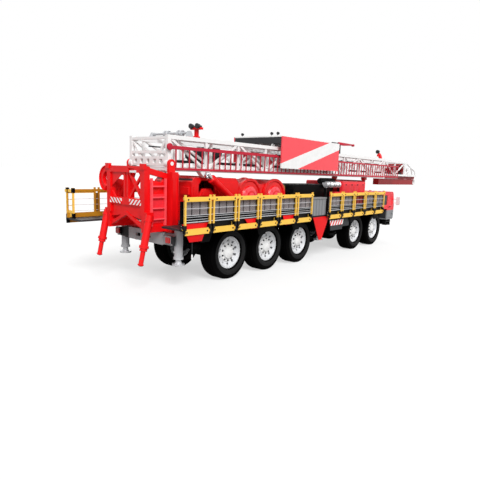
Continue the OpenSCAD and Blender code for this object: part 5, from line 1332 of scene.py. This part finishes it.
@dataclass
class Undercarriage:
    """The air tanks, the brake chambers and the rod that hangs below the rear walkway."""

    tank_x: float = 4270
    tank_y: float = 530
    tank_z: float = 1130
    tank_end: tuple[Corner, ...] = ((0.0, -0.46), (0.06, -0.45), (0.095, -0.425), (0.11, -0.38))
    strap_in: float = 250
    strap_half: float = 20
    strap_z: Corner = (1015, 1246)
    can: tuple[Corner, ...] = (
        (0.0, 0.0), (0.05, 0.0), (0.062, 0.03), (0.082, 0.06), (0.088, 0.10), (0.082, 0.15),
        (0.05, 0.175), (0.0, 0.18),
    )
    can_back: float = 60
    can_y: float = 470
    can_z: float = 720
    rod_y: float = -1500

    def build(self) -> None:
        """Builds the tanks with their straps, the chambers and the rod."""
        tanks = []
        for side in Side:
            y = self.tank_y * side.value
            other = [(radius, -place) for radius, place in reversed(self.tank_end)]
            shell = Bench.spun([*self.tank_end, *other], 32)
            tanks.append(Bench.moved(shell, spot(self.tank_x, y, self.tank_z), 90))
            for x in (self.tank_x - self.strap_in, self.tank_x + self.strap_in):
                tanks.append(Bench.block(
                    spot(x - self.strap_half, y * 0.73, self.strap_z[0]),
                    spot(x + self.strap_half, y * 1.225, self.strap_z[1]),
                    0.004, 0.012, 0.002,
                ))
        Bench.done(Bench.joined(tanks), "air_tanks", BLACK_PAINT, "chassis_frame")
        chambers = [
            Bench.moved(
                Bench.spun(self.can, 28), spot(x - self.can_back, self.can_y * side.value, self.can_z), 90
            )
            for x in AXLES[:3]
            for side in Side
        ]
        Bench.done(Bench.joined(chambers), "brake_chambers", DARK_STEEL, "axle_beams")
        rod = Bench.pin(spot(-1665, self.rod_y, 1300), spot(-1660, self.rod_y, 880), 0.010, 12, 0.002)
        Bench.done(rod, "hanging_rod", DARK_STEEL, "walkway_brackets")
        tip = Bench.pin(spot(-1660, self.rod_y, 885), spot(-1658, self.rod_y, 775), 0.017, 16, 0.005)
        Bench.done(tip, "hanging_rod_tip", WHITE_PAINT, "walkway_brackets")


@dataclass
class MastTop:
    """The tapered arm, lamp bracket and ladder's top rail, the base's cheeks and the crown tray's side."""

    arm_y: float = -570
    arm_z: float = 3758
    taper: tuple[Corner, ...] = (
        (6060, 3712), (6060, 3806), (6500, 3806), (7140, 3798), (7140, 3752), (6500, 3708),
    )
    post: tuple[Corner, ...] = ((6120, 3345), (6240, 3345), (6220, 3730), (6150, 3730))
    eye: Corner = (7185, 3766)
    bracket_foot: float = 3340
    bracket_y: float = -530
    bracket_centre: Corner = (9500, 3290)
    bracket_arcs: tuple[Corner, Corner] = ((375, 340), (200, 250))
    lamp: tuple[Corner, ...] = (
        (0.0, -0.05), (0.055, -0.05), (0.07, -0.03), (0.075, 0.05), (0.06, 0.055), (0.0, 0.058),
    )
    lamp_place: Place = (9440, -565, 3665)
    rail: tuple[Place, Place] = ((-1655, -770, 3092), (2230, -728, 3168))
    cheek: tuple[Corner, ...] = ((-2161, 2222), (-1709, 2222), (-1709, 2345), (-2161, 2435))
    tray: tuple[Place, Place] = ((10640, -452, 2598), (14205, -441, 2745))

    def arm(self) -> None:
        """Builds the tapered arm with its eye, and the post and link that carry it."""
        y, (eye_x, eye_z) = self.arm_y, self.eye
        eye = Bench.pin(spot(eye_x, y - 45, eye_z), spot(eye_x, y + 45, eye_z), 0.043, 24, 0.006)
        arm = Bench.joined([Bench.plate(outline(y - 25, *self.taper), 0.05, 0.006), eye])
        Bench.done(arm, "tapered_arm", CRIMSON_PAINT, "mast_upper")
        link = Bench.pin(spot(5630, y, self.arm_z), spot(6080, y, self.arm_z), 0.022, 16, 0.004)
        post = Bench.plate(outline(y - 20, *self.post), 0.04, 0.004)
        Bench.done(Bench.joined([link, post]), "tapered_arm_post", DARK_STEEL, "mast_upper")

    def bracket(self) -> None:
        """Builds the curved bracket and its lamp."""
        x, z = self.bracket_centre
        turns = [math.radians(turn) for turn in range(0, 91, 15)]
        outer, inner = (
            outline(self.bracket_y, *(
                (x + wide * math.cos(turn), max(self.bracket_foot, z + tall * math.sin(turn)))
                for turn in turns
            ))
            for wide, tall in self.bracket_arcs
        )
        Bench.done(Bench.strip(outer, inner, -0.07, 0.008), "lamp_bracket", RED_PAINT, "mast_upper")
        lamp = Bench.moved(Bench.spun(self.lamp, 28), spot(*self.lamp_place), 70)
        Bench.done(lamp, "bracket_lamp", DARK_STEEL, "mast_upper")

    def build(self) -> None:
        """Builds arm, bracket, rail, cheeks and tray side."""
        self.arm()
        self.bracket()
        rail = Bench.block(*(spot(*corner) for corner in self.rail), 0.006, 0.012, 0.002)
        ring = Bench.pin(spot(-1668, -772, 3140), spot(-1668, -726, 3140), 0.075, 32, 0.008)
        Bench.done(Bench.joined([rail, ring]), "ladder_top_rail", CRIMSON_PAINT, "mast_ladder")
        cheeks = [Bench.plate(outline(y, *self.cheek), 0.018, 0.003) for y in (662, -680)]
        Bench.done(Bench.joined(cheeks), "base_cheeks", RED_PAINT, "mast_base")
        side = Bench.block(*(spot(*corner) for corner in self.tray), 0.003, 0.020, 0.003)
        Bench.done(side, "crown_tray_side", MAROON_SMOOTH, "crown_block")


@dataclass
class MastInside:
    """The travelling block that lies inside the mast and its guide rods."""

    x0: float = -350
    x1: float = 520
    z: float = 3040
    sheaves: int = 4
    sheave_pitch: float = 95
    groove: tuple[Corner, ...] = ((0.05, -0.028), (0.20, -0.028), (0.205, -0.020), (0.185, 0.0))
    rod_ends: Corner = (-1380, 12500)
    rods: tuple[Corner, ...] = (
        (-430, 2860), (-360, 3180), (430, 2860), (360, 3180), (-120, 2840), (120, 2840),
    )

    def build(self) -> None:
        """Builds the block with its cheeks and sheaves, and the rods."""
        x0, x1, z = self.x0, self.x1, self.z
        corners = ((x0, 60), (x0 + 160, 190), (x1 - 90, 190), (x1, 90))
        ends = [(x, z - drop) for x, drop in corners] + [(x, z + rise) for x, rise in reversed(corners)]
        pieces = [Bench.plate(outline(y, *ends), 0.03, 0.008) for y in (-240, 210)]
        groove = self.groove
        sheave = [*groove, *((radius, -y) for radius, y in reversed(groove[:3])), groove[0]]
        pieces += [
            Bench.moved(Bench.spun(sheave, 40), spot(x1 - 230, -150 + k * self.sheave_pitch, z))
            for k in range(self.sheaves)
        ]
        Bench.done(Bench.joined(pieces), "travelling_block", DARK_STEEL, "mast_upper")
        rods = [
            Bench.pin(*(spot(x, y, height) for x in self.rod_ends), 0.017, 10, 0.003)
            for y, height in self.rods
        ]
        Bench.done(Bench.joined(rods), "guide_rods", DARK_STEEL, "mast_upper")


@dataclass
class CabInterior:
    """The cab's padded seats, the dashboard and the steering wheel, in place of their plain solids."""

    x: float = 9275
    front: float = 9840
    floor: float = 1000
    seats: tuple[Corner, ...] = ((-900, -420), (420, 900))
    pads: tuple[tuple[str, Place, Place, float], ...] = (
        ("seat_cushion", (12, 8, 183), (354, -8, 268), 0.014),
        ("seat_back", (8, 24, 272), (84, -24, 640), 0.012),
        ("head_rest", (10, 120, 655), (72, -120, 795), 0.010),
    )
    channel: Corner = (0.45, 0.06)
    channel_depth: float = 0.006
    pull_in: float = 0.012
    dash: tuple[Corner, ...] = ((0, 1180), (0, 1450), (-90, 1430), (-150, 1370), (-120, 1180))
    dash_half: float = 1185
    wheel_r: float = 0.19
    wheel_y: float = 660
    wheel_z: float = 1470

    def cushion(self, low: Vector, high: Vector, crown: float) -> bpy.types.Object:
        """A crowned pad with two sewn channels and pulled-in sides.

        Args:
            low: Lowest corner.
            high: Highest corner.
            crown: How far the middle stands up.

        Returns:
            The pad.
        """
        obj = Bench.cuboid(low, high)
        bpy.ops.object.mode_set(mode="EDIT")
        bpy.ops.mesh.select_all(action="SELECT")
        bpy.ops.mesh.subdivide(number_cuts=7)
        bpy.ops.object.mode_set(mode="OBJECT")
        middle, size = (low + high) / 2, high - low
        thin, long = (0, 2) if size.x < size.z else (2, 0)
        place, width = self.channel
        for vertex in obj.data.vertices:
            across = [(vertex.co[k] - middle[k]) / (size[k] / 2) for k in range(3)]
            swell = (1 - across[1] ** 2) * crown * (1 - across[long] ** 4)
            channel = self.channel_depth * math.exp(-((abs(across[1]) - place) / width) ** 2)
            vertex.co[thin] += (swell - channel) * across[thin]
            vertex.co[1] -= self.pull_in * across[1] * (1 - across[long] ** 2) * abs(across[1]) ** 3
        modifier = obj.modifiers.new("soft", "SUBSURF")
        modifier.levels = modifier.render_levels = 1
        bpy.ops.object.modifier_apply(modifier="soft")
        return obj

    def seat(self, number: int, y0: float, y1: float) -> None:
        """Builds one seat: its base, cushion, back and head rest.

        Args:
            number: Its number in the pieces' names.
            y0: Its right side, in mm.
            y1: Its left side, in mm.
        """
        x, floor = self.x, self.floor
        base = Bench.block(
            spot(x + 50, y0 + 80, floor), spot(x + 330, y1 - 80, floor + 181), 0.012, 0.03, 0.006
        )
        Bench.done(base, f"seat_base_{number}", DARK_STEEL, "cab_seats")
        for name, low, high, crown in self.pads:
            lowest = spot(x + low[0], y0 + low[1], floor + low[2])
            highest = spot(x + high[0], y1 + high[1], floor + high[2])
            pad = self.cushion(lowest, highest, crown)
            Bench.done(pad, f"{name}_{number}", SEAT_CLOTH, "cab_seats", 60)

    def build(self) -> None:
        """Builds the seats, the dashboard and the wheel, and hides the plain solids."""
        for number, (y0, y1) in enumerate(self.seats):
            self.seat(number, y0, y1)
        front, wheel_r = self.front, self.wheel_r
        profile = outline(-self.dash_half, *((front + back, z) for back, z in self.dash))
        dash = Bench.plate(profile, self.dash_half * 2 / 1000, 0.012)
        Bench.done(dash, "dashboard", BLACK_PAINT, "cab_seats")
        Bench.clear()
        bpy.ops.mesh.primitive_torus_add(
            major_segments=48, minor_segments=12, major_radius=wheel_r, minor_radius=0.016
        )
        ring = Bench.settle()
        spokes = [
            Bench.pin(Vector(), Vector((math.cos(a) * wheel_r, math.sin(a) * wheel_r, 0)), 0.011, 12, 0.002)
            for a in (0, math.tau / 3, 2 * math.tau / 3)
        ]
        column = Bench.pin(Vector((0, 0, -0.13)), Vector((0, 0, 0.012)), 0.027, 24, 0.006)
        place = spot(front - 190, self.wheel_y, self.wheel_z)
        wheel = Bench.moved(Bench.joined([ring, *spokes, column]), place, -50, "Y")
        Bench.done(wheel, "steering_wheel", BLACK_PAINT, "cab_seats")
        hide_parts("cab_seats")


@dataclass
class CabTrim:
    """The cab's door handles and roof marker lamps."""

    handle: tuple[Place, Place] = ((9325, 1276, 1470), (9455, 1298, 1498))
    lamp_x: float = 9600
    lamp_ys: tuple[float, ...] = (-900, -300, 300, 900)
    lamp_half: Corner = (40, 45)
    lamp_z: Corner = (2076, 2098)

    def build(self) -> None:
        """Builds the handles on the doors and the lamps on the roof."""
        for side in Side:
            node = f"door_{side.name.lower()}"
            grip = Bench.block(*(spot(x, y * side.value, z) for x, y, z in self.handle), 0.006, 0.006, 0.002)
            Bench.done(grip, f"{node}_handle", BLACK_PAINT, node)
        x, (along, across), (low, high) = self.lamp_x, self.lamp_half, self.lamp_z
        markers = [
            Bench.block(
                spot(x - along, y - across, low), spot(x + along, y + across, high), 0.008, 0.01, 0.002
            )
            for y in self.lamp_ys
        ]
        Bench.done(Bench.joined(markers), "marker_lamps", AMBER_LENS, "cab_shell")


@dataclass
class Studio:
    """The pale floor, the soft light and the camera at the photograph's viewing angle."""

    eye: Place = (-13.6625, -8.14, 2.66)
    yaw: float = 40.59
    pitch: float = 8.96
    roll: float = 2.08
    focal: float = 432.67
    frame_px: float = 480.0
    key: float = 3.0
    fill: float = 0.35
    sky: float = 0.50
    floor_glow: float = 0.58
    floor_grey: Colour = (0.42, 0.42, 0.42)

    def sun(self, name: str, direction: Vector, energy: float, spread: float) -> None:
        """Adds a soft sun.

        Args:
            name: Its name.
            direction: Where it shines from.
            energy: Its strength.
            spread: Its angle in degrees.
        """
        light = bpy.data.lights.new(name, "SUN")
        light.energy = energy
        light.angle = math.radians(spread)
        obj = bpy.data.objects.new(name, light)
        obj.rotation_euler = direction.to_track_quat("Z", "Y").to_euler()
        bpy.context.scene.collection.objects.link(obj)

    def sky_light(self) -> None:
        """Sets an even sky that the camera, metal and glass see as white."""
        world = bpy.data.worlds.new("studio_sky")
        bpy.context.scene.world = world
        world.use_nodes = True
        tree = world.node_tree
        rays = tree.nodes.new("ShaderNodeLightPath").outputs
        seen = rays["Is Camera Ray"]
        for ray in ("Is Glossy Ray", "Is Transmission Ray"):
            either = tree.nodes.new("ShaderNodeMath")
            either.operation = "MAXIMUM"
            tree.links.new(seen, either.inputs[0])
            tree.links.new(rays[ray], either.inputs[1])
            seen = either.outputs[0]
        level = tree.nodes.new("ShaderNodeMapRange")
        level.inputs["To Min"].default_value = self.sky
        level.inputs["To Max"].default_value = 1.0
        tree.links.new(seen, level.inputs["Value"])
        dome = tree.nodes["Background"]
        dome.inputs["Color"].default_value = (1, 1, 1, 1)
        tree.links.new(level.outputs[0], dome.inputs["Strength"])

    def floor(self) -> None:
        """Lays the pale floor, which the camera sees as white where no shadow falls."""
        Bench.clear()
        bpy.ops.mesh.primitive_plane_add(size=600, location=(0, 0, 0))
        plane = bpy.context.object
        plane.name = "studio_floor"
        painter = Painter("pale_floor")
        seen = painter.node("ShaderNodeLightPath").outputs["Is Camera Ray"]
        paint = painter.feed(painter.surface, {
            "Base Color": painter.lay(self.floor_grey, (1.0, 1.0, 1.0), seen),
            "Roughness": 1.0,
            "Specular IOR Level": 0.0,
        })
        glow = painter.node("ShaderNodeEmission").outputs[0]
        share = painter.math("MULTIPLY", seen, self.floor_glow)
        either = painter.feed(painter.node("ShaderNodeMixShader"), {0: share, 1: paint, 2: glow})
        painter.join(either, painter.output.inputs["Surface"])
        plane.data.materials.append(painter.material)

    def camera(self) -> None:
        """Sets the camera at the photograph's place and angle."""
        yaw, pitch, roll = (math.radians(a) for a in (self.yaw, self.pitch, self.roll))
        ahead = Vector((math.cos(yaw) * math.cos(pitch), math.sin(yaw) * math.cos(pitch), -math.sin(pitch)))
        level = Vector((math.sin(yaw), -math.cos(yaw), 0.0))
        above = level.cross(ahead)
        right = math.cos(roll) * level + math.sin(roll) * above
        up = math.cos(roll) * above - math.sin(roll) * level
        turn = Matrix((right, up, -ahead)).transposed().to_4x4()
        data = bpy.data.cameras.new("photo_camera")
        data.sensor_width = 36.0
        data.lens = self.focal / self.frame_px * data.sensor_width
        data.clip_end = 900.0
        camera = bpy.data.objects.new("photo_camera", data)
        camera.matrix_world = Matrix.Translation(self.eye) @ turn
        bpy.context.scene.collection.objects.link(camera)
        bpy.context.scene.camera = camera

    def build(self) -> None:
        """Sets up camera, light and floor."""
        self.camera()
        self.sky_light()
        self.sun("key_sun", Vector((-0.42, -0.70, 0.66)), self.key, 26)
        self.sun("fill_sun", Vector((0.35, 0.75, 0.55)), self.fill, 45)
        self.floor()
        bpy.context.scene.view_settings.view_transform = "Standard"


def dress_nodes() -> None:
    """Gives every CAD node its finish."""
    for name, obj in frame["nodes"].items():
        material = material_of(finish_of(name))
        if obj.material_slots:
            for slot in obj.material_slots:
                slot.material = material
        else:
            obj.data.materials.append(material)


def main() -> None:
    """Builds the scene in order and reports each piece."""
    logging.basicConfig(level=logging.INFO, format="%(name)s: %(message)s")
    Studio().build()
    dress_nodes()
    for assembly in (
        Wheels(), Railing(), SidePanels(), Hood(), Machinery(), Undercarriage(), MastTop(), MastInside(),
        CabInterior(), CabTrim(),
    ):
        LOG.info("building %s", type(assembly).__name__)
        assembly.build()
    bpy.context.view_layer.update()


if __name__ == "__main__":
    main()
